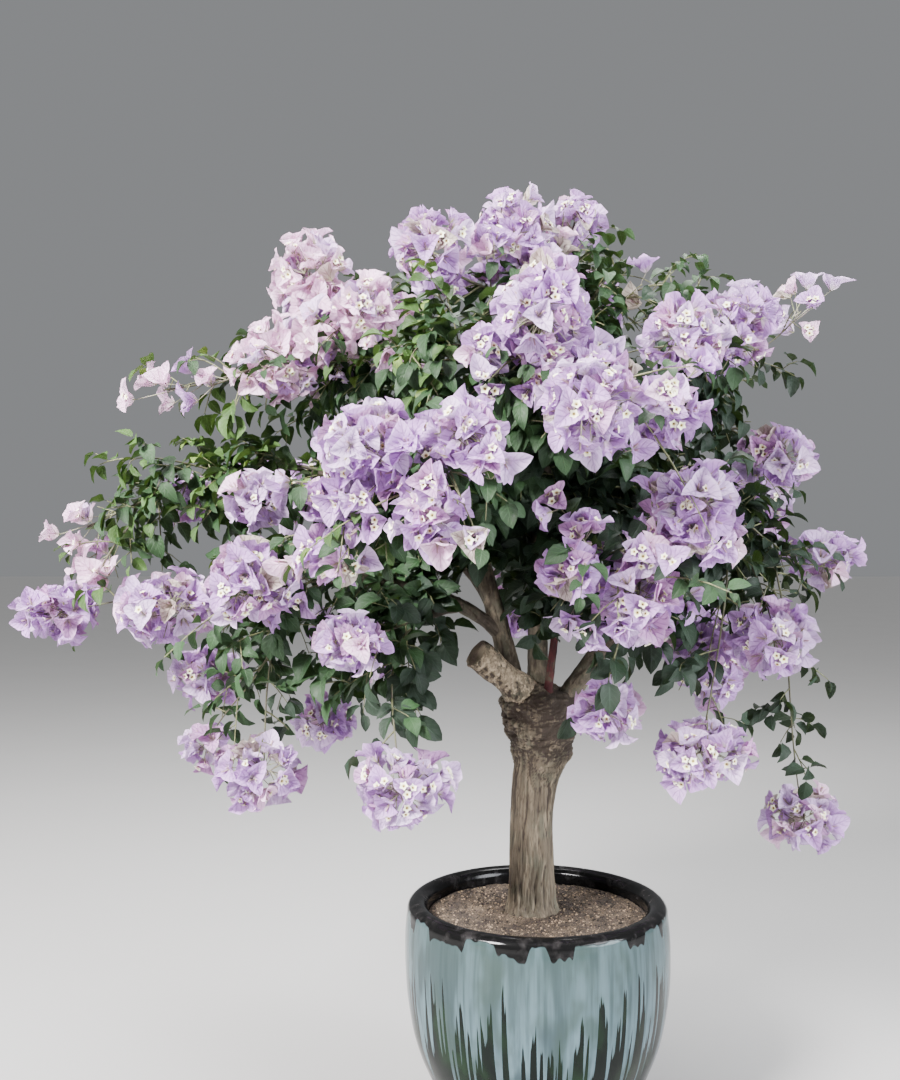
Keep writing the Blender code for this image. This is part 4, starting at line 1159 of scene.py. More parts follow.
class Crown:
    """Where the crown's stems, twigs, leaves and blooms grow, with a tone for each spray."""

    def __init__(self):
        self.foliage, self.bloom = settings("foliage"), settings("bloom")
        self.low, self.high = CAD_BOX
        self.curves, self.radii = bough_curves(), bough_radii()
        self.heads = head_places()
        shown = [head for heads in self.heads.values() for head in heads if head[1]]
        self.centres = np.array([centre for centre, _radius in shown])
        self.sizes = np.array([radius for _centre, radius in shown])
        self.leafy_ends = [ends[0][0] for ends in self.heads.values() if not ends[0][1]]
        self.main_stems = {}
        self.leaf_growth = 1.0
        self.stems, self.twigs, self.stalks = [], [], []
        self.leaves = {tone: [] for tone in LEAF_TONES}
        self.blooms = {tone: [] for tone in BLOOM_TONES}
        self.grow()

    def grow(self):
        starts = slot_starts(self.curves, self.radii)
        for name, ends in self.heads.items():
            self.grow_mass(name, *starts[name], ends)
        for name, at, end in SHOOTS:
            self.grow_shoot(name, at, place(*end))
        self.leaf_growth = 1.0
        for name, curve in self.curves.items():
            if name not in BARE_BOUGHS:
                rng = random.Random(name + " twigs")
                self.grow_twigs(curve, *LIMB_TWIGS, rng, None)

    def reach_into_heads(self, spot):
        """How near this is to a head: below 1 it lies inside the nearest."""
        return float(np.min(np.linalg.norm(self.centres - np.array(spot), axis=1) / self.sizes))

    def has_room(self, spot):
        near_axis, below = POT_KEEPOUT
        if spot.z < below and math.hypot(spot.x, spot.y) < near_axis:
            return False
        bounds = zip(self.low, spot, self.high)
        return all(low - BOX_MARGIN < at < high + BOX_MARGIN for low, at, high in bounds)

    def leaf_tone(self, spot, rng):
        """Paints light into the tone: deeper leaves get the dark tone as painted shade, and those
        towards the sun the painted sunlit tone.
        """
        away = spot - CROWN_CENTRE
        light = 0.68 * away.normalized().dot(SUN_FROM) + 0.50 * min(away.length / 0.6, 1.2)
        light += rng.gauss(0.0, 0.14)
        return "bright" if light > PAINTED_SUNLIT_FROM else "mid" if light > MID_FROM else "dark"

    def grow_mass(self, name, start, direction, ends):
        """One mass: a stem for each head, its twigs, the head itself and often a runner."""
        rng = random.Random(name)
        weights = BLOOM_SHARES[group_with(name, LIGHTER_MASSES, "shaded")]
        habit = group_with(name, UNUSUAL_MASSES, "usual")
        spacing, self.leaf_growth, thinness = HABITS[habit]
        twig_weights = weights if habit == "usual" else None
        root, main = STEM_ROOT, None
        for end, radius in ends:
            stem = swayed(stem_curve(start, direction, end), rng)
            main = main or stem
            self.stems.append((stem, root * thinness, STEM_TIP * thinness))
            self.grow_twigs(stem, TWIG_FIRST, TWIG_LAST, spacing, rng, twig_weights)
            if radius and name in LOOSE_BLOOMS:
                self.grow_loose_head(stem, radius, LOOSE_BLOOMS[name], weights, rng)
            elif radius:
                hangs = habit == "sparse"
                strung = radius > STRUNG_HEAD and not hangs and rng.random() < STRUNG_CHANCE
                self.grow_head(stem, radius, strung, hangs, weights, rng)
            if habit in ("usual", "leafy"):
                self.grow_runner(stem, rng, weights)
            start, direction = along(main, SIDE_STEM_AT), heading(main, SIDE_STEM_AT)
            root = SIDE_STEM_ROOT
        self.main_stems[name] = main

    def grow_shoot(self, name, at, end):
        """A long leafy shoot off a mass's stem, with short twigs of its own."""
        rng = random.Random(f"{name} shoot {at}")
        stem = self.main_stems[name]
        shoot = shoot_curve(along(stem, at), heading(stem, at), end)
        self.leaf_growth = HABITS["leafy"][1]
        self.stems.append((shoot, TWIG_ROOT * 1.5, TWIG_TIP))
        self.grow_leaves(shoot, curve_length(shoot), self.leaf_tone(end, rng), rng)
        self.grow_twigs(shoot, *SHOOT_TWIGS, rng, None)

    def grow_twigs(self, stem, first_share, last_share, spacing, rng, weights):
        """Twigs crowd towards a stem's root, which keeps the crown's inside dark."""
        span = curve_length(stem) * (last_share - first_share)
        count = max(2, round(span / (self.foliage.twig_spacing * spacing)))
        first_turn = rng.uniform(0, math.tau)
        for index in range(count):
            part = ((index + rng.random() * 0.7) / count) ** TWIG_CROWDING
            at = first_share + (last_share - first_share) * part
            size = rng.uniform(*TWIG_LENGTHS) * (1.0 - TWIG_TAPER * at)
            turn = first_turn + GOLDEN_ANGLE * index
            self.grow_twig(stem, at, turn, size, rng, weights)

    def grow_twig(self, stem, at, turn, size, rng, weights, is_side=False):
        curve = twig_curve(stem, at, turn, size)
        end = curve[-1]
        near = self.reach_into_heads(end)
        if not self.has_room(end) or near < TWIG_CLEAR:
            return
        tone = self.leaf_tone(end, rng)
        self.twigs.append((curve, TWIG_ROOT * (0.7 if is_side else 1.0), TWIG_TIP, is_side))
        self.grow_leaves(curve, size, tone, rng)
        least, most = END_BLOOM_RING
        if weights and least < near < most and rng.random() < END_BLOOM_CHANCE:
            self.grow_end_blooms(curve, weights, rng)
        if is_side:
            return
        for part, spin in SIDE_TWIGS:
            if rng.random() < SIDE_TWIG_CHANCE:
                side = size * rng.uniform(*SIDE_TWIG_LENGTHS)
                self.grow_twig(curve, part, spin + turn, side, rng, weights, True)

    def grow_runner(self, stem, rng, weights):
        """A long young shoot that leaves the stem near its end and reaches past it."""
        at, turn = rng.uniform(*RUNNER_FROM), rng.uniform(0, math.tau)
        size = RUNNER_LENGTH * rng.uniform(0.7, 1.15)
        curve = twig_curve(stem, at, turn, size)
        if not self.has_room(curve[-1]) or self.reach_into_heads(curve[-1]) < RUNNER_CLEAR:
            return
        self.twigs.append((curve, TWIG_ROOT * 1.2, TWIG_TIP, False))
        self.grow_leaves(curve, size, self.leaf_tone(curve[-1], rng), rng)
        if weights and rng.random() < END_BLOOM_CHANCE:
            self.grow_end_blooms(curve, weights, rng)

    def grow_leaves(self, curve, size, tone, rng):
        """Leaves stand to left and right by turns along a twig, and face up and outwards."""
        count = max(2, round(size / self.foliage.leaf_spacing))
        side = rng.choice((-1, 1))
        for index in range(count + 1):
            at = min(1.0, (index + rng.uniform(0.4, 1.1)) / count)
            young = at > 0.8 and tone == "bright" and rng.random() < YOUNG_LEAF_CHANCE
            side = -side
            forward = heading(curve, at)
            across = sideways(forward) * side * (0.25 if at > 0.97 else 1.0)
            tilt = forward.cross(across) * rng.uniform(-0.75, 0.75)
            towards = forward * rng.uniform(0.25, 0.85) + across * 0.80 + tilt
            towards -= UP * rng.uniform(0.0, 0.45)
            spot = along(curve, at)
            out = (spot - CROWN_CENTRE).normalized()
            upward = UP * 0.75 + out * 0.55 + scattered(rng, 0.42)
            shade = 1.45 - min(0.60, (spot - CROWN_CENTRE).length * 1.05)
            long = self.foliage.leaf_length * rng.uniform(*LEAF_SIZES) * shade
            long *= (YOUNG_LEAF if young else 1.0) * self.leaf_growth
            self.add_leaf(spot, towards.normalized(), upward, long, "new" if young else tone, rng)

    def add_leaf(self, spot, towards, upward, long, tone, rng):
        """Adds a leaf, unless it would hide a head or leave the crown's room."""
        tip = spot + towards * long
        near = min(self.reach_into_heads(tip), self.reach_into_heads(spot))
        thin_within, left_out = LEAF_THINNING
        hides = near < LEAF_CLEAR or (near < thin_within and rng.random() < left_out)
        if hides or not self.has_room(tip):
            return
        across = towards.cross(upward).normalized()
        axes = np.array([across, towards, across.cross(towards)])
        self.leaves[tone].append((axes * long, spot, rng.randrange(10**6)))

    def grow_head(self, stem, radius, strung, hangs, weights, rng):
        """Blooms on short stalks cover round bunches that crowd the stem's end."""
        end, arrival = stem[-1], heading(stem, 1.0)
        reach = radius - self.bloom.bract_length * 0.78
        bunches = [(end, reach * 0.60)]
        tumble = tumbled(rng)
        wide, tall = HANGING_SPREAD if hangs else (1.0, 1.0)
        for index in range(BUNCHES):
            out = tumble @ sphere_spot(index, BUNCHES)
            size = reach * rng.uniform(*BUNCH_SIZES)
            off = out * (reach * rng.uniform(*BUNCH_PLACES) - size)
            off = Vector((off.x * wide, off.y * wide, off.z * tall))
            bunches.append((end + off + arrival * off.dot(arrival) * 0.25, size))
        back = radius * 0.95
        while strung and back < radius * 1.7:
            at = max(0.5, 1.0 - back / curve_length(stem))
            size = reach * rng.uniform(*STRUNG_SIZES)
            away = scattered(rng, 1.0).normalized()
            bunches.append((along(stem, at) + away * reach * 0.40 + UP * 0.006, size))
            back += size * 1.5
        for bunch in bunches:
            others = [other for other in bunches if other is not bunch]
            self.cover_bunch(bunch, others, end, weights, rng)

    def grow_loose_head(self, stem, radius, count, weights, rng):
        """A few large blooms on stalks of their own, with air between them."""
        end, arrival = stem[-1], heading(stem, 1.0)
        tumble = tumbled(rng)
        for index in range(count):
            out = tumble @ sphere_spot(index, count)
            root = along(stem, rng.uniform(0.86, 1.0))
            spot = end + out * radius * rng.uniform(0.45, 0.95)
            spot += arrival * radius * rng.uniform(-0.3, 0.7)
            axis = (out * 0.55 + arrival * 0.2 + SUN_FROM * 0.75).normalized()
            self.add_bloom(root, spot, axis, weights, rng, LOOSE_SIZE)

    def cover_bunch(self, bunch, others, end, weights, rng):
        """Blooms face out all round one bunch, except where another bunch lies over it."""
        middle, size = bunch
        room = (size + self.bloom.bract_length * 0.40) ** 2 / self.bloom.unit_spacing**2
        count = round(4 * math.pi * room)
        tumble = tumbled(rng)
        for index in range(count):
            out = tumble @ sphere_spot(index, count)
            spot = middle + out * size * rng.uniform(0.84, 1.20)
            if any((spot - place_of).length < width * 0.94 for place_of, width in others):
                continue
            axis = out * 0.85 + (spot - end).normalized() * 0.35 + UP * 0.14 + scattered(rng, 0.34)
            self.add_bloom(middle.lerp(end, 0.5), spot, axis.normalized(), weights, rng)

    def grow_end_blooms(self, curve, weights, rng):
        """A few blooms at a twig's end, except near a mass that ends in leaves."""
        end, forward = along(curve, 1.0), heading(curve, 1.0)
        if any((end - leafy).length < BARE_OF_BLOOM for leafy in self.leafy_ends):
            return
        out = (end - CROWN_CENTRE).normalized()
        for _ in range(rng.choice(END_BLOOMS)):
            axis = (out * 0.8 + forward * 0.5 + scattered(rng, 0.75)).normalized()
            self.add_bloom(end, end + axis * rng.uniform(0.010, 0.020), axis, weights, rng)

    def add_bloom(self, root, spot, axis, weights, rng, growth=1.0):
        tone = rng.choices(BLOOM_TONES, weights)[0]
        size = self.bloom.bract_length * rng.uniform(*BLOOM_SIZES) * growth
        if not self.has_room(spot + axis * size * 0.8):
            return
        self.stalks.append((root, spot))
        self.blooms[tone].append((spot, axis, size, rng.randrange(10**6)))


def group_with(name, groups, usual):
    """The key of the group that lists this name, or the usual one."""
    return next((key for key, names in groups.items() if name in names), usual)


def sphere_spot(index, count):
    """One of this many directions spread evenly by the golden angle."""
    level = 1.0 - 2.0 * (index + 0.5) / count
    return Vector(on_circle(GOLDEN_ANGLE * index, math.sqrt(1.0 - level * level), level))


@functools.lru_cache(maxsize=1)
def grown_crown():
    return Crown()


def square_axes(axis, spin):
    """Rows x, y, z of a frame whose z is this axis, turned by spin."""
    x = square_to(axis, spin)
    return np.array([x, axis.cross(x), axis])


def make_greenery():
    """The crown's stems, twigs and leaves, joined by kind and tone."""
    crown, look = grown_crown(), settings("foliage")
    bark = twig_finish("green_bark", look.twig, tinted(look.twig, 1.9))
    woody = twig_finish("stem_bark", settings("bark").bough, look.twig)
    stems = [limb_tube(*stem, 16, 7) for stem in crown.stems]
    make_growth("stems", stems, woody)
    twigs = [
        limb_tube(curve, root, tip, 3 if is_side else 5, 3 if is_side else 4)
        for curve, root, tip, is_side in crown.twigs
    ]
    make_growth("twigs", twigs, bark)
    rng = random.Random("leaves")
    variants = [leaf_shape(rng, index) for index in range(TILES * TILES)]
    for tone, placed in crown.leaves.items():
        shapes = [variants[seed % len(variants)].placed(axes, spot) for axes, spot, seed in placed]
        finish = leaf_finish("leaf_" + tone, getattr(look, tone))
        make_growth("leaves_" + tone, shapes, finish)


VEINS = {
    "lilac": (0.330, 0.170, 0.420),
    "pale": (0.440, 0.290, 0.530),
    "mauve": (0.270, 0.110, 0.310),
    "sunlit": (0.600, 0.330, 0.520),
    "aged": (0.190, 0.130, 0.110),
}
BLOOM_VARIANTS = 14
FLOWER_VARIANTS = 6
FLOWER_HEIGHT = 0.0180
STALK_RADII = (0.0009, 0.0006)
BIGGEST_PIECE = 150_000  # triangles


def make_growth(name, shapes, finish):
    """Joins growth that stands for all the masses into one piece."""
    make_piece(name, merged(shapes), [finish], [row[0] for row in MASSES])


def make_parts(name, shapes, finish):
    """Joins blossom into numbered pieces, none of which is too heavy."""
    groups, weight = [[]], 0
    for shape in shapes:
        if weight + len(shape.faces) > BIGGEST_PIECE:
            groups.append([])
            weight = 0
        groups[-1].append(shape)
        weight += len(shape.faces)
    for number, group in enumerate(groups, 1):
        make_growth(f"{name}_{number}", group, finish)


def make_blossom():
    """The crown's bracts, joined by tone, and its true flowers and stalks."""
    crown, look = grown_crown(), settings("bloom")
    rng = random.Random("bracts")
    variants = [
        bloom_shape(rng, index * 3, rng.uniform(0.62, 1.05)) for index in range(BLOOM_VARIANTS)
    ]
    opened = [flower_shape(rng, True) for _ in range(FLOWER_VARIANTS)]
    closed = [flower_shape(rng, False) for _ in range(FLOWER_VARIANTS)]
    flowers = []
    for tone, placed in crown.blooms.items():
        shapes = []
        for spot, axis, size, seed in placed:
            pick = random.Random(seed)
            axes = square_axes(axis, pick.uniform(0, math.tau))
            shapes.append(pick.choice(variants).placed(axes * size, spot))
            flowers += bloom_flowers(spot, axes, pick, opened, closed)
        finish = bract_finish("bract_" + tone, getattr(look, tone), VEINS[tone])
        make_parts("bracts_" + tone, shapes, finish)
    make_parts("flowers", flowers, flower_finish())
    stalks = [limb_tube([a, a.lerp(b, 0.5), b], *STALK_RADII, 2, 3) for a, b in crown.stalks]
    green = twig_finish("stalk_bark", (0.20, 0.24, 0.10), (0.30, 0.24, 0.22))
    make_growth("bloom_stalks", stalks, green)


def bloom_flowers(spot, axes, rng, opened, closed):
    """Two or three true flowers in the cup of a bloom. Some blooms have theirs still shut."""
    first = rng.uniform(0, math.tau)
    open_share = rng.choice((0.05, 0.50, 0.95))
    found = []
    for index in range(3 if open_share > 0.5 else 2):
        turn = first + math.tau * index / 3
        out = Vector(axes[0]) * math.cos(turn) + Vector(axes[1]) * math.sin(turn)
        axis = (Vector(axes[2]) + out * rng.uniform(0.18, 0.42)).normalized()
        kinds = opened if rng.random() < open_share else closed
        height = FLOWER_HEIGHT * rng.uniform(0.85, 1.12)
        shape = rng.choice(kinds)
        own_axes = square_axes(axis, rng.uniform(*ANY_TURN)) * height
        found.append(shape.placed(own_axes, spot + out * 0.0022))
    return found


# ---- pot and soil --------------------------------------------------------------------------


POT_SIDES = 180
POT_WOBBLE = 0.0016  # how far a thrown wall wanders
LIP_STEPS = 22
FOOT_RECESS = 0.006
FOOT_RING = (  # (how far in from the wall, height) of the ring that the pot stands on
    (0.022, FOOT_RECESS), (0.018, 0.0008), (0.014, 0.0), (0.003, 0.0), (0.0, 0.0012),
)
POT_WALL = 0.020
POT_FLOOR = 0.022


def turned_shape(profile, sides, wobble):
    """A closed turned shape. The profile starts and ends on the axis."""
    (_axis, base), *inner, (_axis, top) = profile
    points = []
    for radius, height in inner:
        for turn in turns_round(sides):
            spot = Vector(on_circle(turn, 1.0, height * 5))
            out = radius + wobble * noise.noise(spot * 1.3) + wobble * 0.25 * noise.noise(spot * 6)
            points.append(on_circle(turn, out, height))
    return closed_rings(points, sides, (0.0, 0.0, base), (0.0, 0.0, top))


def make_pot():
    """The pot: a full wall on a recessed foot, a rolled lip and the wall inside."""
    radii, heights = zip(*POT_OUTSIDE)
    climb = np.concatenate([np.linspace(0.004, 0.34, 44), np.linspace(0.345, heights[-1], 6)])
    outside = list(zip(smooth_through(heights, radii, climb), climb))
    outer, top = radii[-1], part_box("pot")[1].z
    half = (outer - POT_MOUTH) / 2
    rise = top - heights[-1]
    turns = np.linspace(0.0, math.pi, LIP_STEPS)[1:]
    lip = [
        (POT_MOUTH + half + half * math.cos(t), heights[-1] + rise * math.sin(t) ** 0.8)
        for t in turns
    ]
    inside_climb = np.linspace(heights[-1] - 0.004, 0.06, 22)
    inside = [
        (min(POT_MOUTH, r - POT_WALL) if z < 0.33 else POT_MOUTH + (0.355 - z) * 0.35, z)
        for r, z in zip(smooth_through(heights, radii, inside_climb), inside_climb)
    ]
    foot = radii[0]
    under = [(foot - inward, height) for inward, height in FOOT_RING]
    walls = [*under, *outside, *lip, *inside]
    profile = [(0.0, FOOT_RECESS), *walls, (0.10, POT_FLOOR), (0.0, POT_FLOOR)]
    shape = turned_shape(profile, POT_SIDES, POT_WOBBLE)
    make_piece("glazed_pot", shape, [glaze_finish()], ["pot"])


SOIL_RINGS, SOIL_SIDES = 74, 190
SOIL_REACH = POT_MOUTH + 0.0005
SOIL_SKIRT = 0.030
GRAINS = {"dark": (0.10, 0.45), "brown": (0.55, 1.0), "tan": (1.05, 2.1)}  # dryness, lightness
GRAIN_SHARES = (0.36, 0.38, 0.26)
GRAIN_SIZES = (0.45, 0.5, 0.6, 0.7, 0.9, 1.2)


def soil_height(spot):
    """The soil's top: it falls from the trunk to the rim, in small heaps."""
    away = math.hypot(spot.x, spot.y) / POT_MOUTH
    heaps = 0.0030 * noise.noise(spot * 26.0) + 0.0017 * noise.noise(spot * 75.0)
    crumbs = 0.0011 * noise.noise(spot * 240.0)
    collar = 0.004 * math.exp(-((away - 0.30) ** 2) / 0.012)
    return SOIL_LEVEL - SOIL_FALL * away**1.5 + heaps + crumbs + collar


def make_soil():
    """Crumbled soil, with loose grains of three kinds lying on it."""
    points = []
    for ring in range(SOIL_RINGS):
        reach = SOIL_REACH * (1.0 - ring / SOIL_RINGS)
        for turn in turns_round(SOIL_SIDES):
            spot = Vector(on_circle(turn, reach))
            points.append((spot.x, spot.y, soil_height(spot)))
    low = SOIL_LEVEL - SOIL_SKIRT
    skirt = [(x, y, low) for x, y, _z in points[:SOIL_SIDES]]
    shape = closed_rings(skirt + points, SOIL_SIDES, (0.0, 0.0, low), (0.0, 0.0, SOIL_LEVEL))
    make_piece("potting_soil", shape, [soil_finish("potting_soil", 0.34)], ["soil"])
    make_grains()


def make_grains():
    look, rng = settings("soil"), random.Random("grains")
    grains = {kind: [] for kind in GRAINS}
    for _ in range(look.grains):
        reach, turn = SOIL_REACH * 0.97 * math.sqrt(rng.random()), rng.uniform(0, math.tau)
        spot = Vector(on_circle(turn, reach))
        size = look.grain_size * rng.choice(GRAIN_SIZES) * rng.uniform(0.8, 1.3)
        spot.z = soil_height(spot) + size * 0.20
        rows = np.array(tumbled(rng, ANY_TURN[1])) * size
        flat = np.array([1.0, 1.0, rng.uniform(0.45, 0.8)])
        kind = rng.choices(tuple(GRAINS), GRAIN_SHARES)[0]
        grains[kind].append(pebble(rng).placed(rows * flat, spot))
    for kind, shapes in grains.items():
        finish = soil_finish(kind + "_grit", *GRAINS[kind])
        make_piece(kind + "_grains", merged(shapes), [finish], ["soil"])


def pebble(rng):
    """An uneven grain one unit wide, on the corners of an icosahedron."""
    corners = np.array(icosahedron_corners())
    corners = corners / np.linalg.norm(corners[0]) / 2
    corners *= np.array([[rng.uniform(0.8, 1.2)] for _ in corners])
    return Shape(corners, PEBBLE_FACES)


def icosahedron_corners():
    golden = (1 + 5**0.5) / 2
    corners = [(0, a, b * golden) for a in (-1, 1) for b in (-1, 1)]
    return [tuple(corner[i - turn] for i in range(3)) for turn in range(3) for corner in corners]


def icosahedron_faces():
    """The triangles of an icosahedron: all trios of corners that lie nearest to each other."""
    corners = [Vector(corner) for corner in icosahedron_corners()]
    faces = []
    for trio in itertools.combinations(range(12), 3):
        a, b, c = (corners[index] for index in trio)
        if max((a - b).length, (b - c).length, (c - a).length) < 2.01:
            out = (b - a).cross(c - a).dot(a) > 0
            faces.append(trio if out else trio[::-1])
    return np.array(faces)


PEBBLE_FACES = icosahedron_faces()


# ---- trunk and boughs ----------------------------------------------------------------------

TRUNK_RINGS, TRUNK_SIDES = 236, 152
TRUNK_LOBES = 0.05
BURL_FROM, BURL_FULL = 0.575, 0.665
WARP_SEED = 11  # noise_vector() follows the clock unless it is seeded
TRUNK_DOME = 0.007  # how far the burl's top rises above its last ring


def fissure(spot, scale, stretch):
    """From 0 on a plate of bark to 1 in the cleft between plates."""
    drawn = Vector((spot.x * scale, spot.y * scale, spot.z * scale * stretch))
    return max(0.0, 1.0 - abs(noise.noise(drawn) * 2.6)) ** 1.6


def rough_noise(spot, scale, layers=4):
    """Noise in layers, each twice as fine and half as strong, from about -1 to 1."""
    return sum(noise.noise(spot * scale * 2**n) / 2**n for n in range(layers))


def trunk_relief(spot, climb):
    """How far the bark stands out here, and how dark it is: deep in a cleft, and on the burl also
    painted shade that deepens towards its right side.
    """
    look = settings("bark")
    warped = spot + noise.noise_vector(spot * 16.0) * 0.004
    furrow = fissure(warped, 62.0, 0.06)
    fibre = fissure(warped + UP * 3, 250.0, 0.06)
    cleft_and_shade = 0.38 * furrow + 0.52 * fibre
    swell = 0.0022 * noise.noise(Vector((spot.x * 30, spot.y * 30, spot.z * 7)))
    burl = min(1.0, max(0.0, (climb - BURL_FROM) / (BURL_FULL - BURL_FROM)))
    burl = burl * burl * (3 - 2 * burl)
    out = swell - look.relief * cleft_and_shade * (1.0 - 0.5 * burl)
    if burl > 0.0:
        folded = Vector((spot.x, spot.y, spot.z * 1.7))
        lumps = rough_noise(folded, 24.0)
        wrinkles = fissure(folded + noise.noise_vector(spot * 40.0) * 0.008, 60.0, 1.6)
        pits = max(0.0, 0.42 - noise.voronoi(folded * 135.0)[0][0]) * 2.4
        out += burl * (0.0105 * lumps - 0.0032 * wrinkles - 0.0030 * pits)
        # The burl is darker all over, and painted shade deepens it towards its right side, away
        # from the key light.
        shade = 0.32 + 0.30 * max(0.0, spot.x / 0.06)
        creases_and_shade = 0.45 * wrinkles + 0.9 * pits - 0.45 * lumps + shade
        cleft_and_shade = cleft_and_shade * (1 - 0.7 * burl) + burl * creases_and_shade
    return out, min(1.0, max(0.0, cleft_and_shade))


def make_trunk():
    """The trunk, from its flared foot to the knobbly burl that the boughs leave."""
    noise.seed_set(WARP_SEED)
    heights, radii, leans = zip(*TRUNK)
    foot = SOIL_LEVEL - 0.012
    top = heights[-1]
    climbs = np.linspace(foot, top, TRUNK_RINGS)
    reach = smooth_through(heights, radii, np.maximum(climbs, heights[0]))
    lean = smooth_through(heights, leans, climbs)
    dome = np.linspace(1.0, 0.0, 14)[1:-1]
    climbs = np.concatenate([climbs, top + TRUNK_DOME * (1 - dome**2)])
    reach = np.concatenate([reach, reach[-1] * dome])
    lean = np.concatenate([lean, np.full(len(dome), lean[-1])])
    points, hollows_and_shade = [], []
    for climb, radius, middle in zip(climbs, reach, lean):
        flare = 0.003 * math.exp(-(climb - foot) / 0.030)
        for side in range(TRUNK_SIDES):
            turn = math.tau * side / TRUNK_SIDES
            lobes = math.sin(3 * turn + 9 * climb) + 0.6 * math.sin(5 * turn - 14 * climb)
            roots = 0.6 + 0.5 * math.sin(3 * turn + 0.9) + 0.35 * math.sin(5 * turn + 2.1)
            out = radius * (1 + TRUNK_LOBES * lobes) + flare * roots
            direction = Vector(on_circle(turn, 1.0))
            spot = Vector((middle, 0.0, climb)) + direction * out
            raised, cleft_and_shade = trunk_relief(spot, climb)
            spot += direction * raised * min(1.0, radius / 0.02)
            spot.z += raised * max(0.0, (climb - top + 0.02) * 25)
            points.append(spot)
            hollows_and_shade.append(cleft_and_shade)
    ends = (leans[0], 0.0, foot), (leans[-1], 0.0, top + TRUNK_DOME)
    shape = closed_rings(points, TRUNK_SIDES, *ends)
    look = settings("bark")
    finish = bark_finish("trunk_bark", look.ridge, look.crevice, 0.10)
    fields = {"hollow": hollows_and_shade + [0.5, 0.5]}
    make_piece("bark_trunk", shape, [finish], ["trunk"], fields)


BOUGH_SIDES = 26
RING_STEP = 0.0058
COLLAR_REACH, COLLAR_SWELL = 0.022, 0.30
SAWN_END = ((0.93, 0.06), (0.88, 0.08), (0.6, 0.05), (0.3, 0.02))  # share of radius, and rise
ROUND_END = ((0.90, 0.42), (0.66, 0.75), (0.34, 0.94))


def bough_shape(name, curve, root, tip):
    """A limb with a collar, knots, wrinkled bark and a rounded or sawn end."""
    rng = random.Random(name + " bark")
    sawn = name == "stub_bough"
    span = curve_length(curve)
    rings = max(24, round(span / RING_STEP))
    shares = np.linspace(0.0, 1.0, rings)
    centres, forwards, acrosses, upwards = curve_frames(curve, shares)
    foot = Vector(centres[0])
    knots = [
        (rng.uniform(0.12, 0.9), rng.uniform(*ANY_TURN), rng.uniform(0.10, 0.30))
        for _ in range(rings // 6)
    ]
    depth = (0.10 if sawn else 0.055) * root
    points, hollows_and_shade = [], []
    for index, at in enumerate(shares):
        radius = root + (tip - root) * at
        radius *= 1.0 + COLLAR_SWELL * math.exp(-((at * span / COLLAR_REACH) ** 2))
        if sawn:
            radius *= 1.0 + 0.07 * math.sin(at * 9.0) + 0.10 * at**6
        middle, across, upward = (Vector(row[index]) for row in (centres, acrosses, upwards))
        climbed = Vector((0, 0, at * span * 3))
        for side in range(BOUGH_SIDES):
            turn = math.tau * side / BOUGH_SIDES
            rim = across * math.cos(turn) + upward * math.sin(turn)
            spot = middle + rim * radius
            wrinkle = fissure(rim * 0.5 + climbed + foot, 7.0, 1.0)
            swell = 0.0
            for where, facing, size in knots:
                around = math.cos(turn - facing)
                gap = ((at - where) * span / (radius * 0.9)) ** 2
                swell += size * math.exp(-gap) * max(0.0, around) ** 3
            rough = noise.noise(spot * 130.0) * 0.05 + noise.noise(spot * 45.0) * 0.06
            hollow = wrinkle * 0.7 + max(0.0, -rough) * 3
            if sawn:
                pit = max(0.0, 0.50 - noise.voronoi(spot * 210.0)[0][0]) * 2.2
                rough -= 0.08 * pit
                wrinkle *= 0.3
                # A sawn stub: pits, and painted shade on its underside.
                hollow = pit * 0.9 + max(0.0, -rim.z - 0.2) * 0.9
            out = radius * (1.0 + rough + swell * 0.5) - depth * wrinkle
            points.append(middle + rim * out)
            hollows_and_shade.append(min(1.0, hollow))
    return close_bough(points, hollows_and_shade, centres, forwards[-1] * tip, sawn)


def close_bough(points, hollows_and_shade, centres, onward, sawn):
    """Ends the limb: a sawn one with a flat face, any other with a dome."""
    rim, middle = np.array(points[-BOUGH_SIDES:]), centres[-1]
    piths = [1.0] * len(points)
    closing = SAWN_END if sawn else ROUND_END
    for part, rise in closing:
        points += list(middle + (rim - middle) * part + onward * rise)
        hollows_and_shade += [0.25] * BOUGH_SIDES
        piths += [part] * BOUGH_SIDES
    flat_from = len(points) - BOUGH_SIDES * len(closing)
    end = middle + onward * (0.0 if sawn else 1.0)
    shape = closed_rings(points, BOUGH_SIDES, centres[0], end)
    second = (shape.faces.min(axis=1) >= flat_from).astype(int) * int(sawn)
    return shape, {"hollow": hollows_and_shade + [0.3, 0.3], "pith": piths + [0.0, 1.0]}, second


def make_boughs():
    """Every limb that leaves the burl or another limb, each with its own kind of bark."""
    look = settings("bark")
    weathered = tuple(0.5 * (a + b) for a, b in zip(look.ridge, look.bough))
    stub_ridge = tinted(look.ridge, 2.8)
    finishes = {
        "stub_bough": bark_finish("stub_bark", stub_ridge, look.crevice, 0.6),
        "red_shoot": bark_finish("red_shoot_bark", look.shoot, (0.02, 0.006, 0.006), 0.4, 0.4),
        "leader": bark_finish("leader_bark", weathered, look.crevice, 0.35, 0.75),
        "arm": bark_finish("arm_bark", look.bough, look.crevice, 0.40, 0.6),
    }
    cut = cut_finish()
    leaders, radii = {row[0] for row in LEADERS}, bough_radii()
    for name, curve in bough_curves().items():
        kind = name if name in finishes else "leader" if name in leaders else "arm"
        shape, fields, second = bough_shape(name, curve, *radii[name])
        make_piece(name + "_bark", shape, [finishes[kind], cut], [name], fields, second)


# ---- stage ---------------------------------------------------------------------------------

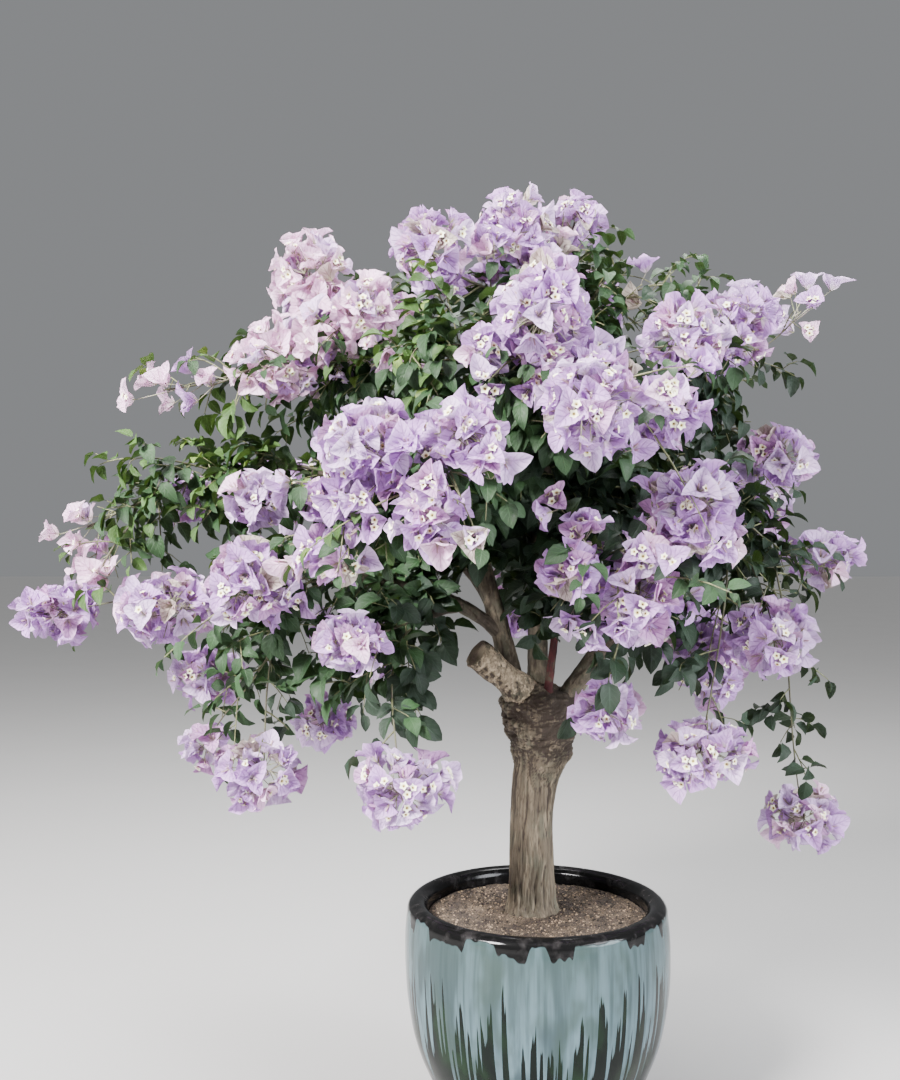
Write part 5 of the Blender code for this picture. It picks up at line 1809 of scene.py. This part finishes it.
EYE = (-0.149, -2.020, 0.993)
FOCAL_LENGTH = 39.27  # millimetres, on a 36 mm sensor
FLOOR_SIZE = 60.0
AIR_STRENGTH = 0.31
EVEN_ANGLE = 80  # degrees of sky that the even light fills
LIT_MIDDLE = Vector((-0.10, 0.0, 0.95))
LAMPS = (  # name, place, width, strength as a share of the key light, tint
    ("key_light", (-2.5, -2.5, 3.0), 1.3, 1.00, (1.0, 0.98, 0.975)),
    ("fill_light", (2.8, -2.0, 1.6), 2.2, 0.33, (0.92, 0.95, 1.0)),
    ("top_light", (0.2, 0.9, 3.6), 2.0, 0.20, (1.0, 1.0, 1.0)),
)


def add_floor():
    half = FLOOR_SIZE / 2
    corners = [(-half, -half, 0.0), (half, -half, 0.0), (half, half, 0.0), (-half, half, 0.0)]
    mesh = bpy.data.meshes.new("floor")
    mesh.from_pydata(corners, [], [(0, 1, 2, 3)])
    mesh.materials.append(floor_finish())
    floor = add_object("floor", mesh)


def add_lights():
    """Soft lamps round the plant, one that lights far and near evenly, and the air's own light."""
    look = settings("stage")
    for name, spot, width, strength, tint in LAMPS:
        lamp = bpy.data.lights.new(name, "AREA")
        lamp.shape, lamp.size = "DISK", width
        lamp.energy, lamp.color = look.key * strength, tint
        towards = LIT_MIDDLE - Vector(spot)
        turned = towards.to_track_quat("-Z", "Y").to_euler()
        add_object(name, lamp, spot).rotation_euler = turned
    sky = bpy.data.lights.new("even_light", "SUN")
    sky.energy, sky.angle = look.even, math.radians(EVEN_ANGLE)
    add_object("even_light", sky)
    world = bpy.data.worlds.new("soft_air")
    world.use_nodes = True
    air = world.node_tree.nodes["Background"].inputs
    air["Color"].default_value = (*look.air, 1.0)
    air["Strength"].default_value = AIR_STRENGTH
    bpy.context.scene.world = world


def add_camera():
    lens = bpy.data.cameras.new("camera")
    lens.lens = FOCAL_LENGTH
    lens.clip_start, lens.clip_end = 0.05, 200.0
    camera = add_object("camera", lens, EYE)
    camera.rotation_euler = (math.radians(90), 0.0, 0.0)
    bpy.context.scene.camera = camera


# ---- operators and panel -------------------------------------------------------------------


class MakePot(bpy.types.Operator):
    """Turn the glazed pot"""

    bl_idname = "bougainvillea.pot"
    bl_label = "Glazed Pot"

    def execute(self, context):
        make_pot()
        return {"FINISHED"}


class MakeSoil(bpy.types.Operator):
    """Fill the pot with soil and loose grains"""

    bl_idname = "bougainvillea.soil"
    bl_label = "Soil"

    def execute(self, context):
        make_soil()
        return {"FINISHED"}


class MakeTrunk(bpy.types.Operator):
    """Grow the trunk and its burl"""

    bl_idname = "bougainvillea.trunk"
    bl_label = "Trunk"

    def execute(self, context):
        make_trunk()
        return {"FINISHED"}


class MakeBoughs(bpy.types.Operator):
    """Grow the boughs, the sawn stub and the red shoot"""

    bl_idname = "bougainvillea.boughs"
    bl_label = "Boughs"

    def execute(self, context):
        make_boughs()
        return {"FINISHED"}


class MakeGreenery(bpy.types.Operator):
    """Grow stems, twigs and leaves from the boughs"""

    bl_idname = "bougainvillea.greenery"
    bl_label = "Twigs and Leaves"

    def execute(self, context):
        make_greenery()
        return {"FINISHED"}


class MakeBlossom(bpy.types.Operator):
    """Open the bracts and the true flowers"""

    bl_idname = "bougainvillea.blossom"
    bl_label = "Bracts and Flowers"

    def execute(self, context):
        make_blossom()
        return {"FINISHED"}


class SetStage(bpy.types.Operator):
    """Set the floor, the soft lights and the camera"""

    bl_idname = "bougainvillea.stage"
    bl_label = "Stage"

    def execute(self, context):
        add_floor()
        add_lights()
        add_camera()
        return {"FINISHED"}


MAKERS = (MakePot, MakeSoil, MakeTrunk, MakeBoughs, MakeGreenery, MakeBlossom, SetStage)


class PlantPanel(bpy.types.Panel):
    """Lists the plant's settings and the operators that make its pieces"""

    bl_idname = "VIEW3D_PT_bougainvillea"
    bl_label = "Bougainvillea Standard"
    bl_space_type = "VIEW_3D"
    bl_region_type = "UI"
    bl_category = "Bougainvillea"

    def draw(self, context):
        for group, kind in SETTINGS.items():
            box = self.layout.box()
            box.label(text=group.capitalize())
            for name in kind.__annotations__:
                box.prop(settings(group), name)
        for maker in MAKERS:
            self.layout.operator(maker.bl_idname)


CLASSES = (*SETTINGS.values(), *MAKERS, PlantPanel)


def register():
    for kind in CLASSES:
        bpy.utils.register_class(kind)
    for group, kind in SETTINGS.items():
        setattr(bpy.types.Scene, "bougainvillea_" + group, PointerProperty(type=kind))


def unregister():
    for group in SETTINGS:
        delattr(bpy.types.Scene, "bougainvillea_" + group)
    for kind in reversed(CLASSES):
        bpy.utils.unregister_class(kind)


def main():
    register()
    for maker in MAKERS:
        group, name = maker.bl_idname.split(".")
        getattr(getattr(bpy.ops, group), name)()
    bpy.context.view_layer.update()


if __name__ == "__main__":
    main()
